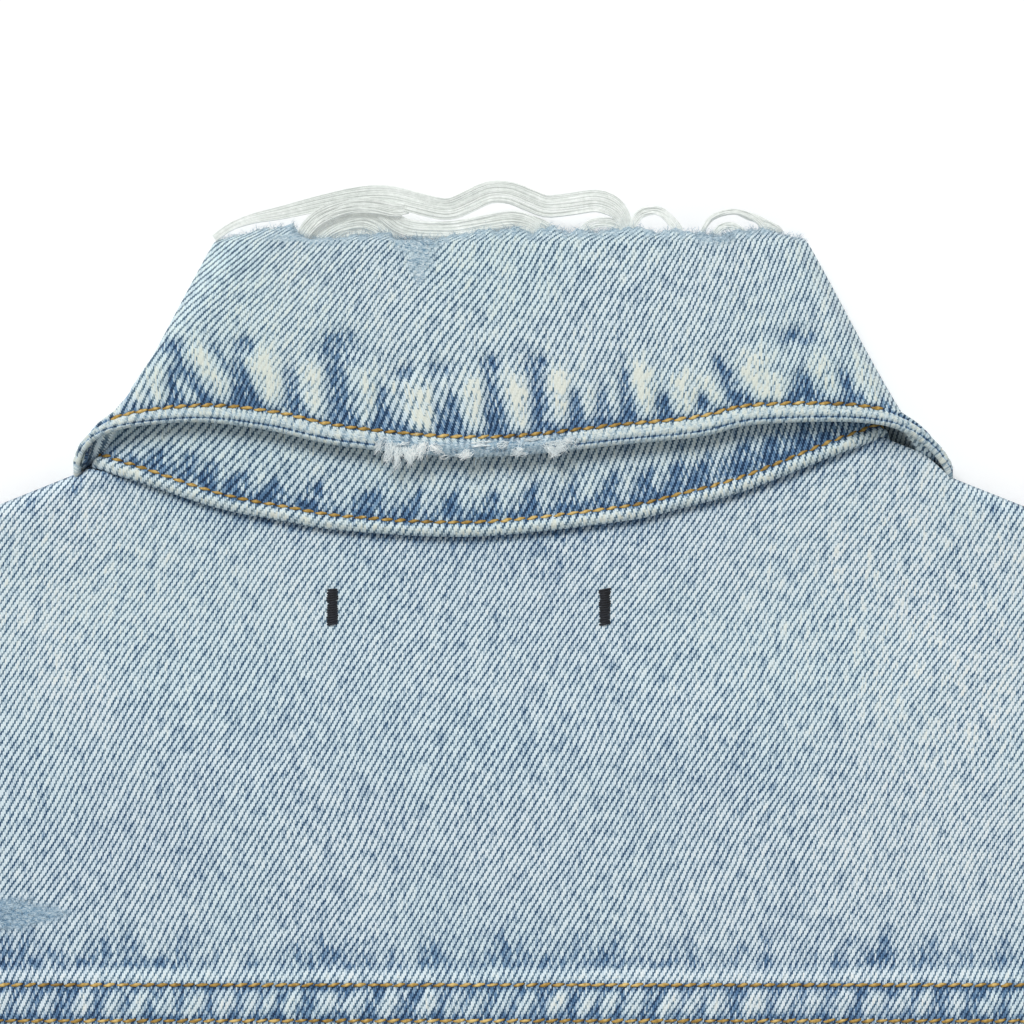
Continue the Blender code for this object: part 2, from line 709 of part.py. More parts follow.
def build_cuff(hand, side):
    """A flattened ring past the end of the sleeve, with its button on the upper face."""
    outline = stadium(CUFF_WIDTH, CUFF_HEIGHT)
    middle = (CUFF_INNER + CUFF_OUTER) / 2 + 2 * SEAM_GAP * SLEEVE_WAY
    ring = bmesh.new()
    bmesh.ops.create_cone(
        ring, cap_ends=False, segments=len(outline), radius1=1, radius2=1, depth=1
    )
    for vert in ring.verts:
        turn = math.atan2(vert.co.y, vert.co.x) % (2 * math.pi)
        across, up = outline[round(turn / (2 * math.pi) * len(outline)) % len(outline)]
        along = CUFF_DEPTH * (0.5 - vert.co.z)
        x, y = middle + along * SLEEVE_WAY + across * SLEEVE_SIDE
        vert.co = (hand * x, y, up + CUFF_CLEAR)
    ring.normal_update()
    lowest = min(ring.faces, key=lambda face: face.calc_center_median().z)
    if lowest.normal.z > 0:
        bmesh.ops.reverse_faces(ring, faces=ring.faces)
    mesh = bpy.data.meshes.new("cuff_" + side)
    ring.to_mesh(mesh)
    ring.free()
    cuff = place_in_jacket(bpy.data.objects.new("cuff_" + side, mesh), "denim")
    wall = cuff.modifiers.new("wall", "SOLIDIFY")
    wall.thickness = DOUBLE
    wall.offset = -1
    place = middle + CUFF_DEPTH / 2 * SLEEVE_WAY
    place = place + (CUFF_WIDTH / 2 - CUFF_BUTTON_INSET) * SLEEVE_SIDE
    button("cuff_button_" + side, hand * place[0], place[1], CUFF_HEIGHT + CUFF_CLEAR + SEAM_GAP)


# Collar
def collar_sections():
    """Neck, fold and edge lines of the collar, each a function of 0 to 1 from tip to tip."""
    table = spline(COLLAR_SECTIONS)

    def lines(t):
        turn, neck_x, neck_y, fold_x, fold_y, edge_x, edge_y = table(t)
        turn = min(max(float(turn), 0.0), 1.0)
        neck_z = STAND_BACK_Z + (STAND_FRONT_Z - STAND_BACK_Z) * turn
        fold_z = FOLD_BACK_Z + (LEAF_FRONT_Z - FOLD_BACK_Z) * turn
        edge_z = LEAF_EDGE_Z + (LEAF_FRONT_Z - LEAF_EDGE_Z) * turn
        neck = np.array((neck_x * MM, neck_y * MM, neck_z))
        fold = np.array((fold_x * MM, fold_y * MM, fold_z))
        edge = np.array((edge_x * MM, edge_y * MM, edge_z))
        return turn, neck, fold, edge

    return lines


def fold_frame(lines, t):
    """At the fold: the way up to it, and the way out of the cloth."""
    step = 0.004
    before, after = lines(max(t - step, 0))[2], lines(min(t + step, 1))[2]
    _, _, fold, edge = lines(t)
    up = (fold - edge) / np.linalg.norm(fold - edge)
    out = np.cross(after - before, up)
    return up, out / np.linalg.norm(out)


def build_collar():
    lines = collar_sections()
    columns = even(SECTION_CELLS * (len(COLLAR_SECTIONS) - 1))
    roll = [1 + angle / 1000 for angle in LIP_ANGLES]

    def on_leaf(t, v):
        turn, _, fold, edge = lines(t)
        if v <= 1:
            point = edge + (fold - edge) * v
            point[2] += LEAF_CROWN * math.sin(math.pi * v) * (1 - turn) ** 2
            return point
        up, out = fold_frame(lines, t)
        angle = math.radians((v - 1) * 1000)
        return fold + up * LIP * math.sin(angle) - out * LIP * (1 - math.cos(angle))

    def on_stand(t, v):
        _, neck, fold, _ = lines(t)
        up, out = fold_frame(lines, t)
        top = fold - out * (DOUBLE + 0.6 * MM) - up * STAND_TOP_SHORT
        return neck + (top - neck) * v

    cloth("collar_leaf", columns, [*LEAF_ROWS, *roll], on_leaf, DOUBLE, "collar_denim")
    cloth("collar_stand", columns, STAND_ROWS, on_stand, DOUBLE, "collar_denim")
    build_fray(lines)


def tube(name, points, radius):
    """A closed four-sided tube along points, as a mesh."""
    curve = bpy.data.curves.new(name, "CURVE")
    curve.dimensions = "3D"
    curve.bevel_depth = radius
    curve.bevel_resolution = 0
    curve.use_fill_caps = True
    path = curve.splines.new("POLY")
    path.points.add(len(points) - 1)
    for point, place in zip(path.points, points):
        point.co = (*place, 1)
    guide = bpy.data.objects.new(name, curve)
    bpy.context.scene.collection.objects.link(guide)
    graph = bpy.context.evaluated_depsgraph_get()
    mesh = bpy.data.meshes.new_from_object(guide.evaluated_get(graph))
    bpy.data.objects.remove(guide)
    closed = bmesh.new()
    closed.from_mesh(mesh)
    bmesh.ops.remove_doubles(closed, verts=closed.verts, dist=0.01 * MM)
    bmesh.ops.recalc_face_normals(closed, faces=closed.faces)
    closed.to_mesh(mesh)
    closed.free()
    obj = bpy.data.objects.new(name, mesh)
    bpy.context.scene.collection.objects.link(obj)
    return obj


def build_fray(lines):
    """Loops of weft yarn that hang out of the worn fold, rooted in a narrow strip of cloth."""
    back = [lines(t) for t in even(120, 0.25, 0.75)]
    folds = np.array([fold for turn, _, fold, _ in back if turn < 0.2])
    clear = LIP + SEAM_GAP + STRIP_RADIUS
    strip_z = FOLD_BACK_Z - LIP

    def above_fold(x):
        return float(np.interp(x, folds[:, 0], folds[:, 1])) + clear

    ends = -61.5 * MM, 56.5 * MM
    along = [(x, above_fold(x), strip_z) for x in even(14, *ends)]
    strip = tube("collar_fray", along, STRIP_RADIUS)
    locks = []
    for start_x, end_x, rise, sway, waves, crest, count in YARN_BUNDLES:
        for k in range(count):
            first = start_x * MM + k * LOCK_STEP
            last = end_x * MM - k * LOCK_STEP
            height = rise * MM * (1 - 0.13 * k)
            points = []
            for t in even(LOCK_POINTS):
                x = first + (last - first) * t
                arch = math.sin(math.pi * min(t / 0.3, (1 - t) / 0.3, 1.0) / 2)
                wave = sway * MM * math.cos(2 * math.pi * waves * (t - crest)) * arch**2
                z = strip_z + arch * (1.1 * k - 1.2) * MM
                points.append((x, above_fold(x) + height * arch + wave, z))
            locks.append(tube("lock", points, LOCK_RADIUS))
    for lock in locks:
        join = strip.modifiers.new("root", "BOOLEAN")
        join.operation = "UNION"
        join.object = lock
        lock.hide_render = True
        lock.display_type = "WIRE"
        bpy.context.scene.collection.objects.unlink(lock)
        bpy.data.collections["helpers"].objects.link(lock)
    place_in_jacket(strip, "weft_yarn")


def centre_on_origin(parts, helpers):
    """Hangs everything on an empty that brings the bounding box's bottom centre to the origin."""
    graph = bpy.context.evaluated_depsgraph_get()
    corners = [
        part.matrix_world @ vert.co
        for part in parts
        for vert in part.evaluated_get(graph).data.vertices
    ]
    low = [min(c[k] for c in corners) for k in range(3)]
    high = [max(c[k] for c in corners) for k in range(3)]
    root = bpy.data.objects.new("jacket_origin", None)
    bpy.context.scene.collection.objects.link(root)
    root.location = (-(low[0] + high[0]) / 2, -(low[1] + high[1]) / 2, -low[2])
    for obj in (*parts, *helpers):
        obj.parent = root


def main():
    for obj in list(bpy.data.objects):
        bpy.data.objects.remove(obj)
    for name in ("trucker_jacket", "helpers"):
        bpy.context.scene.collection.children.link(bpy.data.collections.new(name))
    for name in COLOURS:
        make_material(name)
    build_back()
    build_front()
    build_plackets()
    build_waistband()
    for hand, side in ((1, "right"), (-1, "left")):
        build_sleeve(hand, side)
        build_cuff(hand, side)
    build_collar()
    bpy.context.view_layer.update()
    jacket, helpers = (bpy.data.collections[name].objects for name in ("trucker_jacket", "helpers"))
    centre_on_origin(list(jacket), list(helpers))


main()
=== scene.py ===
import math
import bpy
import numpy as np
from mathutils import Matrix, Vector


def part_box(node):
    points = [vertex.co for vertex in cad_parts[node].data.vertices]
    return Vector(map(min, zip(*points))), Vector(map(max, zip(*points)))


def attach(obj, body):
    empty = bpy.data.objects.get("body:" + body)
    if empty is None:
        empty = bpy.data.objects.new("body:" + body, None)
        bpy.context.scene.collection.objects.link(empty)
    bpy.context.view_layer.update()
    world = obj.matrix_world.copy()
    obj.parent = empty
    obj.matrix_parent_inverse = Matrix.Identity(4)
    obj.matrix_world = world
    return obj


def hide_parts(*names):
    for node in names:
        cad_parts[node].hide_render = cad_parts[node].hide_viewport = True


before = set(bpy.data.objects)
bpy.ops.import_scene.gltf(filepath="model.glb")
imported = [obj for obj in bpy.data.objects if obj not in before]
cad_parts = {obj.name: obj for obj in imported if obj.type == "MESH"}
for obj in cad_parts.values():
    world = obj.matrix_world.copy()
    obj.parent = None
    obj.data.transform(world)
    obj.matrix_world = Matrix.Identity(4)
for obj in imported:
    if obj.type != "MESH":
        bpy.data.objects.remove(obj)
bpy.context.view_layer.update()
print("frame loaded")

# all lengths below are in mm from the middle of the back neck seam, x to the right, y to the collar
mm = 0.001
jacket = {
    "length": 620.0, "waistY": -580.0, "hemHalf": 250.0, "waistHalf": 252.0, "yokeY": -103.0,
    "frontYokeY": -135.0, "shoulderTip": (235.0, -42.0), "underarm": (272.0, -268.0),
    "armhole": ((221.5, -103.0), (218.0, -150.0), (224.0, -198.0), (242.0, -238.0), (272.0, -268.0)),
    "backSeamTop": 150.0, "backSeamFoot": 85.0, "cloth": 1.3, "wall": 1.2, "bandWall": 2.2, "doubled": 2.4,
    "pressed": 1.6, "seamGap": 0.3, "layerGap": 0.8, "rise": 5.4, "roll": 5.0, "rollLift": 0.8, "puff": 2.2,
    "placketLump": 2.0,
}
pixel = {"size": 0.22, "midX": 512.0, "neckY": 535.0}  # the photograph's scale at the collar
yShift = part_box("waistband_back")[0].y / mm + jacket["length"]


def toPhoto(x, y):
    return x / pixel["size"] + pixel["midX"], pixel["neckY"] - y / pixel["size"]


def fromPhoto(points):
    p = np.asarray(points, float)
    return np.stack([(p[..., 0] - pixel["midX"]) * pixel["size"],
                     (pixel["neckY"] - p[..., 1]) * pixel["size"]], -1)


# curves and cuts
def smooth(t):
    t = np.clip(t, 0, 1)
    return t * t * (3 - 2 * t)


def bell(distance, width):
    return np.exp(-((distance / width) ** 2))


def spline(points):
    given = np.asarray(points, float)
    spans = len(given) - 1
    ends = np.vstack([2 * given[0] - given[1], given, 2 * given[-1] - given[-2]])

    def at(t):
        t = np.asarray(t, float)
        i = np.clip((t * spans).astype(int), 0, spans - 1)
        f = (t * spans - i)[..., None]
        a, b, c, d = (ends[i + k] for k in range(4))
        square = 2 * b + (c - a) * f + (2 * a - 5 * b + 4 * c - d) * f**2
        return 0.5 * (square + (3 * b - a - 3 * c + d) * f**3)

    return at


def line(start, end):
    a, b = np.asarray(start, float), np.asarray(end, float)
    return lambda t: a + (b - a) * np.asarray(t, float)[..., None]


def chain(*pieces):
    def at(t):
        t = np.asarray(t, float)
        begun, out = 0.0, None
        for share, curve in pieces:
            here = curve(np.clip((t - begun) / share, 0, 1))
            out = here if out is None else np.where((t > begun)[..., None], here, out)
            begun += share
        return out

    return at


def turnedRound(curve):
    return lambda t: curve(1 - np.asarray(t, float))


def offset(curve, distance):
    def at(t):
        t = np.asarray(t, float)
        way = curve(np.clip(t + 0.01, 0, 1)) - curve(np.clip(t - 0.01, 0, 1))
        side = np.stack([way[..., 1], -way[..., 0]], -1)
        return curve(t) + distance * side / np.linalg.norm(side, axis=-1, keepdims=True)

    return at


def patch(bottom, top, left, right):
    c00, c10, c01, c11 = bottom(0.0), bottom(1.0), top(0.0), top(1.0)

    def at(u, v):
        u, v = np.asarray(u, float), np.asarray(v, float)
        a, b = u[..., None], v[..., None]
        sides = (1 - a) * left(v) + a * right(v)
        ends = (1 - b) * bottom(u) + b * top(u)
        return sides + ends - (1 - b) * ((1 - a) * c00 + a * c10) - b * ((1 - a) * c01 + a * c11)

    return at


def quad(lowLeft, lowRight, highLeft, highRight):
    return patch(line(lowLeft, lowRight), line(highLeft, highRight), line(lowLeft, highLeft),
                 line(lowRight, highRight))


def mirrored(cut):
    return lambda u, v: cut(1 - np.asarray(u, float), v) * np.array((-1.0, 1.0))


def graded(length, fine=1.6, coarse=5.0, margin=20.0):
    # places from 0 to 1, close together near both ends where the seams are
    margin = min(margin, 0.45 * length)
    near = np.arange(0, margin, fine)
    middle = np.linspace(margin, length - margin, max(2, int((length - 2 * margin) / coarse) + 2))
    return np.concatenate([near, middle, length - near[::-1]]) / length


# soft folds: x, y, heading in degrees, half length, half width, height
backFolds = (
    (-105.0, -330.0, 96.0, 170.0, 20.0, 3.2), (118.0, -300.0, 82.0, 150.0, 18.0, 3.0),
    (-20.0, -430.0, 88.0, 130.0, 26.0, 2.6), (-205.0, -290.0, 128.0, 90.0, 16.0, 3.4),
    (208.0, -310.0, 50.0, 95.0, 16.0, 3.4), (60.0, -520.0, 95.0, 60.0, 14.0, 2.2),
    (-165.0, -500.0, 84.0, 80.0, 16.0, 2.6), (175.0, -480.0, 98.0, 90.0, 18.0, 2.6),
)
backCreases = (
    (-60.0, -200.0, 74.0, 70.0, 5.0, 0.8), (-32.0, -260.0, 98.0, 90.0, 6.0, 0.9),
    (48.0, -230.0, 102.0, 80.0, 5.0, 0.8), (88.0, -400.0, 84.0, 100.0, 6.0, 1.0),
    (-70.0, -470.0, 80.0, 70.0, 5.0, 0.9), (20.0, -350.0, 92.0, 60.0, 4.0, -0.7),
    (-228.0, -330.0, 112.0, 60.0, 5.0, 1.1), (-190.0, -240.0, 138.0, 55.0, 6.0, 1.2),
    (226.0, -340.0, 66.0, 60.0, 5.0, 1.0), (188.0, -250.0, 40.0, 55.0, 6.0, 1.2),
    (-140.0, -400.0, 92.0, 70.0, 5.0, -0.8), (142.0, -420.0, 86.0, 80.0, 5.0, -0.8),
    (-190.0, -140.0, 20.0, 40.0, 5.0, 0.7), (186.0, -146.0, 158.0, 44.0, 5.0, 0.7),
    (-150.0, -50.0, 152.0, 60.0, 6.0, 0.6), (158.0, -56.0, 30.0, 60.0, 6.0, 0.6),
    (-60.0, -62.0, 168.0, 50.0, 9.0, 0.35), (40.0, -44.0, 12.0, 60.0, 10.0, 0.35),
    (96.0, -30.0, 40.0, 42.0, 7.0, 0.45), (-98.0, -30.0, 140.0, 42.0, 7.0, 0.45),
)


def foldHeight(x, y, folds):
    total = np.zeros_like(x)
    for foldX, foldY, heading, halfLength, halfWidth, height in folds:
        c, s = math.cos(math.radians(heading)), math.sin(math.radians(heading))
        along = ((x - foldX) * c + (y - foldY) * s) / halfLength
        across = ((y - foldY) * c - (x - foldX) * s) / halfWidth
        total += height * np.clip(1 - along**2, 0, 1) ** 2 * np.exp(-(across**2))
    return total


bodySide = np.array([(250.0, -620.0), (252.0, -580.0), *jacket["armhole"][::-1], jacket["shoulderTip"]])


def sideRoom(x, y):
    return np.interp(y, bodySide[:, 1], bodySide[:, 0]) - np.abs(x)


def frontRise(x, y):
    tipX, tipY = jacket["shoulderTip"]
    shoulder = 15 - (15 - tipY) / (tipX - 88) * (np.abs(x) - 88) - y
    hem = np.maximum(smooth((y - jacket["waistY"]) / 60), smooth((90 - np.abs(x)) / 50))
    middle = smooth(sideRoom(x, y) / 70) * hem * smooth(shoulder / 50)
    return jacket["rise"] * np.maximum(middle, smooth((200 - np.hypot(x, y + 30)) / 80))


def creaseScale(y):
    return 1 + 1.1 * smooth((-112 - y) / 20)


def backTop(x, y):
    waist = y - jacket["waistY"]
    offNeck = smooth((-y - 8) / 50)
    loose = jacket["puff"] * smooth(sideRoom(x, y) / 60) * offNeck * smooth(waist / 50)
    lump = jacket["placketLump"] * smooth((45 - np.abs(x)) / 22) * offNeck
    calm = smooth((sideRoom(x, y) - 6) / 20) * smooth(waist / 30)
    scale = creaseScale(y)
    folds = (0.5 + 0.5 * scale) * foldHeight(x, y, backFolds) + scale * foldHeight(x, y, backCreases)
    layers = frontRise(x, y) + 2 * jacket["cloth"] + jacket["layerGap"]
    return layers + np.maximum(loose, lump) + folds * calm


def turnedDown(z, below, distance):
    low = below + jacket["rollLift"]
    share = np.clip(distance / jacket["roll"], 0, 1)
    return low + (z - low) * np.sqrt(1 - (1 - share) ** 2)


def apart(a, b):
    return np.linalg.norm(a - b, axis=-1)


def runLength(points):
    # how far along a line each of its points is
    return np.concatenate([[0], np.cumsum(apart(points[1:], points[:-1]))])


def bandArea(width, middle):
    return float(np.sum(0.5 * (width[1:] + width[:-1]) * apart(middle[1:], middle[:-1])))


def rolledEdge(away, r):
    # how far a folded edge of that radius has turned down
    return np.where(away < r, r - np.sqrt(np.maximum(r * r - (r - np.minimum(away, r)) ** 2, 0)), 0)


def softRamp(p, width):
    # 0 well below zero, p well above it
    return 0.5 * (p + np.sqrt(p * p + width * width))


def wavy(x, y):
    # cloth never lies dead straight, so its twill sways a little
    swayed = x + 0.4 * np.sin(0.11 * x + 0.07 * y + 1.0) + 0.35 * np.sin(0.13 * y - 0.06 * x)
    return np.stack([swayed, y], -1)


# seam wear: each pucker is a dark trough that starts at the stitching and thins away from it
def puckerRow(seed, length, spacing=(8.0, 15.0), reach=(7.0, 22.0), width=(2.0, 3.6), lean=(-0.2, 0.5)):
    draw = np.random.default_rng(seed)
    rows, s = [], -spacing[0]
    while s < length + spacing[1]:
        s += draw.uniform(*spacing)
        rows.append((s, draw.uniform(*reach), draw.uniform(*width), draw.uniform(*lean),
                     draw.uniform(0.5, 1.0)))
    return rows


def puckerAt(rows, along, away):
    total = np.zeros_like(along)
    for s, reach, width, lean, strength in rows:
        near = np.clip(1 - away / reach, 0, 1)
        total += strength * near**0.7 * bell(along - s - lean * away, width * (0.3 + 0.7 * near))
    return np.clip(total, 0, 1) * smooth((away + 0.5) / 1.0)


def seamSide(away, along, seed, felled=True):
    # fade and height beside a seam; a felled one has a band of two stitch rows first
    length = float(along.max())
    inner = 9.5 if felled else 2.0
    flames = puckerAt(puckerRow(seed, length), along, away - inner)
    fade = -0.75 * flames - 0.45 * bell(away, 0.9)
    height = -0.55 * flames - 0.5 * bell(away, 1.0)
    if felled:
        inBand = smooth((inner - away) / 1.5)
        ovals = puckerAt(puckerRow(seed + 50, length, (4.6, 8.4), (40, 60), (1.5, 2.3), (0.2, 0.6)), along,
                         away)
        fade += inBand * (0.28 - 1.15 * ovals)
        height += inBand * (0.55 - 0.5 * ovals)
    return fade, height


def strokes(table, x, y, baseY, foot=1.0, head=0.18):
    # tapering marks given in photograph pixels:
    # x at the stitching, x and y of the tip, half width, strength
    px, py = toPhoto(x, y)
    total = np.zeros_like(px)
    for baseX, tipX, tipY, halfWidth, strength in table:
        base = np.array((baseX, float(np.interp(baseX, baseY[:, 0], baseY[:, 1])) + 3))
        way = np.array((tipX, tipY)) - base
        size = np.hypot(*way)
        along = ((px - base[0]) * way[0] + (py - base[1]) * way[1]) / size**2
        across = ((py - base[1]) * way[0] - (px - base[0]) * way[1]) / size
        width = halfWidth * (head + (foot - head) * np.clip(1 - along, 0, 1))
        lasting = strength * smooth((along + 0.12) / 0.12) * smooth((1.12 - along) / 0.5)
        total += lasting * bell(across, width)
    return np.clip(total, 0, 1.2)


def spots(table, x, y):
    px, py = toPhoto(x, y)
    total = np.zeros_like(px)
    for midX, midY, halfX, halfY in table:
        total = np.maximum(total, smooth((1.5 - np.hypot((px - midX) / halfX, (py - midY) / halfY)) / 1.1))
    return total


# shader maths
class Wire:
    def __init__(self, tree, socket=None):
        self.tree, self.socket = tree, socket

    def node(self, kind, settings=None, inputs=None, out=0):
        made = self.tree.nodes.new(kind)
        for key, value in (settings or {}).items():
            if key == "stops":
                points = made.color_ramp.elements
                while len(points) < len(value):
                    points.new(0.5)
                for point, (place, colour) in zip(points, value):
                    point.position, point.color = place, colour
            else:
                setattr(made, key, value)
        for key, value in (inputs or {}).items():
            if isinstance(value, Wire):
                self.tree.links.new(value.socket, made.inputs[key])
            else:
                made.inputs[key].default_value = value
        return Wire(self.tree, made.outputs[out])

    def math(self, operation, *values):
        return self.node("ShaderNodeMath", {"operation": operation}, dict(enumerate(values)))

    def __add__(self, other):
        return self.math("ADD", self, other)

    def __sub__(self, other):
        return self.math("SUBTRACT", self, other)

    def __rsub__(self, other):
        return self.math("SUBTRACT", other, self)

    def __mul__(self, other):
        return self.math("MULTIPLY", self, other)

    def __truediv__(self, other):
        return self.math("DIVIDE", self, other)

    __radd__, __rmul__ = __add__, __mul__

    def floor(self):
        return self.math("FLOOR", self)

    def fract(self):
        return self.math("FRACT", self)

    def between(self, low, high, first=0.0, last=1.0):
        return self.node("ShaderNodeMapRange", {"interpolation_type": "SMOOTHSTEP"},
                         {"Value": self, "From Min": low, "From Max": high, "To Min": first,
                          "To Max": last})

    def ramp(self, stops):
        return self.node("ShaderNodeValToRGB", {"stops": stops}, {"Fac": self})

    def mix(self, first, second):
        return self.node("ShaderNodeMix", {"data_type": "RGBA"}, {0: self, 6: first, 7: second}, out=2)


def colour(code):
    parts = [int(code[i : i + 2], 16) / 255 for i in (1, 3, 5)]
    return (*[p / 12.92 if p <= 0.04045 else ((p + 0.055) / 1.055) ** 2.4 for p in parts], 1.0)


def stops(*pairs):
    return [(place, colour(code)) for place, code in pairs]


def newMaterial(name, **constants):
    material = bpy.data.materials.new(name)
    material.use_nodes = True
    shader = material.node_tree.nodes["Principled BSDF"]
    for key, value in constants.items():
        shader.inputs[key.replace("_", " ")].default_value = value
    return material, shader, Wire(material.node_tree)


def feed(shader, socket, wire):
    shader.id_data.links.new(wire.socket, shader.inputs[socket])


twill = {"warp": 0.352 * mm, "pick": 0.61 * mm, "float": 0.76, "wobble": 0.30 * mm, "bump": 0.5,
         "depth": 0.18 * mm}


def denim(name, look):
    material, shader, wire = newMaterial(name, Roughness=0.92, Specular_IOR_Level=0.18, Sheen_Weight=0.12,
                                         Sheen_Roughness=0.6)
    weave = wire.node("ShaderNodeUVMap", {"uv_map": "weave"})
    # this attribute carries the dye's fading and also painted shade and painted light
    fade = wire.node("ShaderNodeAttribute", {"attribute_name": "fade"}, out=2)
    worn = wire.node("ShaderNodeAttribute", {"attribute_name": "worn"}, out=2)

    def noise(scale, detail=2.0, rough=0.5, at=weave):
        return wire.node("ShaderNodeTexNoise", {"noise_dimensions": "2D"},
                         {"Vector": at, "Scale": scale, "Detail": detail, "Roughness": rough})

    def axis(k, of=weave):
        return wire.node("ShaderNodeSeparateXYZ", None, {"Vector": of}, out=k)

    u = axis(0) + (noise(170.0) - 0.5) * twill["wobble"]
    v = axis(1) + (noise(140.0) - 0.5) * (2.2 * twill["wobble"])
    end = (u / twill["warp"]).floor()
    acrossYarn = (u / twill["warp"]).fract() * 2.0 - 1.0
    endChance = wire.node("ShaderNodeTexWhiteNoise", {"noise_dimensions": "1D"}, {"W": end})
    lift = (v / twill["pick"] - end + (endChance - 0.5) * 0.35) * 0.25
    place = lift.fract()
    both = wire.node("ShaderNodeCombineXYZ", None, {"X": end, "Y": lift.floor()})
    floatChance = wire.node("ShaderNodeTexWhiteNoise", {"noise_dimensions": "2D"}, {"Vector": both})
    onTop = place.between(0.0, 0.16) * place.between(twill["float"] - 0.16, twill["float"] + 0.04, 1.0, 0.0)
    barrel = 1.0 - acrossYarn * acrossYarn * 0.55
    yarn = onTop * barrel
    # how far the dye is washed out here, together with the painted shade and painted light that the attribute
    # carries
    streak = wire.node("ShaderNodeCombineXYZ", None, {"X": axis(0) * 1400.0, "Y": axis(1) * 60.0})
    slub = wire.node("ShaderNodeTexNoise", {"noise_dimensions": "2D"},
                     {"Vector": streak, "Scale": 1.0, "Detail": 2.0})
    cloud = noise(26.0, 3.0, 0.6) - 0.5
    grain = noise(420.0, 2.0, 0.6) - 0.5
    blot = noise(330.0, 2.0, 0.6) - 0.5
    slant = wire.node("ShaderNodeCombineXYZ", None,
                      {"X": axis(0) * 780.0 - axis(1) * 450.0, "Y": axis(0) * 70.0 + axis(1) * 120.0})
    lineTone = wire.node("ShaderNodeTexNoise", {"noise_dimensions": "2D"},
                         {"Vector": slant, "Scale": 1.0, "Detail": 2.0}) - 0.5
    jag = (floatChance - 0.5) * 0.75 + grain * 0.8
    ragged = fade * (1.0 + blot * 1.5) + (noise(900.0) - 0.5) * fade.math("ABSOLUTE", fade) * 0.9
    wash = look["wash"] + ragged * 0.5 + cloud * look["cloud"] + (slub - 0.5) * 0.24
    wash = wash + blot * 0.14 + lineTone * 0.30
    wash = wash + jag * (0.34 + fade.math("ABSOLUTE", fade) * 0.5)
    # where the tone goes darker the floats darken too, deepening painted shade as well as unfaded dye
    sunk = ragged.math("MINIMUM", ragged, 0.0) * 0.26
    light = (yarn * 1.25 - 0.08 + jag * 0.55 + blot * 0.26 + lineTone * 0.26 + sunk).between(0.10, 0.74)
    tint = noise(18.0, 2.0).between(0.35, 0.68)
    top = wire.node("ShaderNodeMix", {"data_type": "RGBA", "blend_type": "MULTIPLY"},
                    {0: tint, 6: wash.ramp(look["floats"]), 7: (0.95, 0.99, 0.982, 1)}, out=2)
    # the valleys between the floats are coloured dark: partly the unfaded indigo at the yarn sides, partly
    # painted shade over the sunken weft
    valley = wash.ramp(look["valleys"])
    cloth = light.mix(valley, top)
    # rubbed-through places lose the twill and show fluffy yarn ends
    strands = wire.node("ShaderNodeCombineXYZ", None, {"X": axis(0) * 900.0, "Y": axis(1) * 2600.0})
    fluff = wire.node("ShaderNodeTexNoise", {"noise_dimensions": "2D"},
                      {"Vector": strands, "Scale": 1.0, "Detail": 3.0, "Distortion": 1.2})
    frayed = (noise(760.0, 4.0, 0.75) - 0.5) * 1.7 * worn.between(0.0, 0.45)
    wornHere = (worn * 1.1 + frayed).between(0.12, 1.05) * 0.92
    rubbed = fluff.ramp(look["rubbed"])
    feed(shader, "Base Color", wornHere.mix(cloth, rubbed))
    height = yarn * (1.0 - wornHere) + fluff * wornHere * 1.4 + grain * 0.25
    bump = wire.node("ShaderNodeBump", None,
                     {"Strength": twill["bump"], "Distance": twill["depth"], "Height": height})
    feed(shader, "Normal", bump)
    return material


denimLook = {
    "wash": 0.575, "cloud": 0.28,
    "floats": stops((0.0, "#6489b0"), (0.22, "#90afcb"), (0.45, "#cbdde9"), (0.62, "#dfeef6"),
                    (0.85, "#e8f1f4"), (1.0, "#ecf0ec")),
    "valleys": stops((0.0, "#1c3655"), (0.25, "#2a496b"), (0.45, "#3a5874"), (0.65, "#577488"),
                     (0.85, "#889eaa"), (1.0, "#c9d2d0")),
    "rubbed": stops((0.3, "#527a9a"), (0.47, "#88a8be"), (0.66, "#c6d8e2")),
}
collarLook = {
    "wash": 0.615, "cloud": 0.28,
    "floats": stops((0.0, "#6489b0"), (0.22, "#8eadc9"), (0.45, "#c8dae5"), (0.62, "#deeef5"),
                    (0.85, "#e4edea"), (1.0, "#e8ece2")),
    "valleys": stops((0.0, "#1c3655"), (0.25, "#294868"), (0.45, "#3a5770"), (0.65, "#567386"),
                     (0.85, "#a3b5ba"), (1.0, "#dbe0d5")),
    "rubbed": stops((0.3, "#5f849f"), (0.47, "#9cb7c6"), (0.66, "#d8e5ea")),
}
bodyDenim = denim("washed_denim", denimLook)
collarDenim = denim("washed_collar_denim", collarLook)


def spun(name, pairs, rough, sheen, glow=0.0):
    # thread and loose yarn: fine lines along the piece, slightly uneven in colour
    material, shader, wire = newMaterial(name, Roughness=rough, Sheen_Weight=sheen, Specular_IOR_Level=0.3)
    coords = wire.node("ShaderNodeTexCoord", out=3)
    tone = wire.node("ShaderNodeTexNoise", None, {"Vector": coords, "Scale": 900.0, "Detail": 3.0})
    broad = wire.node("ShaderNodeTexNoise", None, {"Vector": coords, "Scale": 60.0, "Detail": 1.0})
    tip = wire.node("ShaderNodeAttribute", {"attribute_name": "tip"}, out=2)
    # stitch ends are darkened: painted shade where the thread dips into the cloth
    feed(shader, "Base Color", (tone * 0.6 + broad * 0.4 - tip * 0.3).ramp(stops(*pairs)))
    bump = wire.node("ShaderNodeBump", None, {"Strength": 0.3, "Distance": 0.05 * mm, "Height": tone})
    feed(shader, "Normal", bump)
    # the glow is painted light: emission lifts the yarn out of its own shade
    shader.inputs["Emission Color"].default_value = (1, 1, 1, 1)
    shader.inputs["Emission Strength"].default_value = glow
    return material


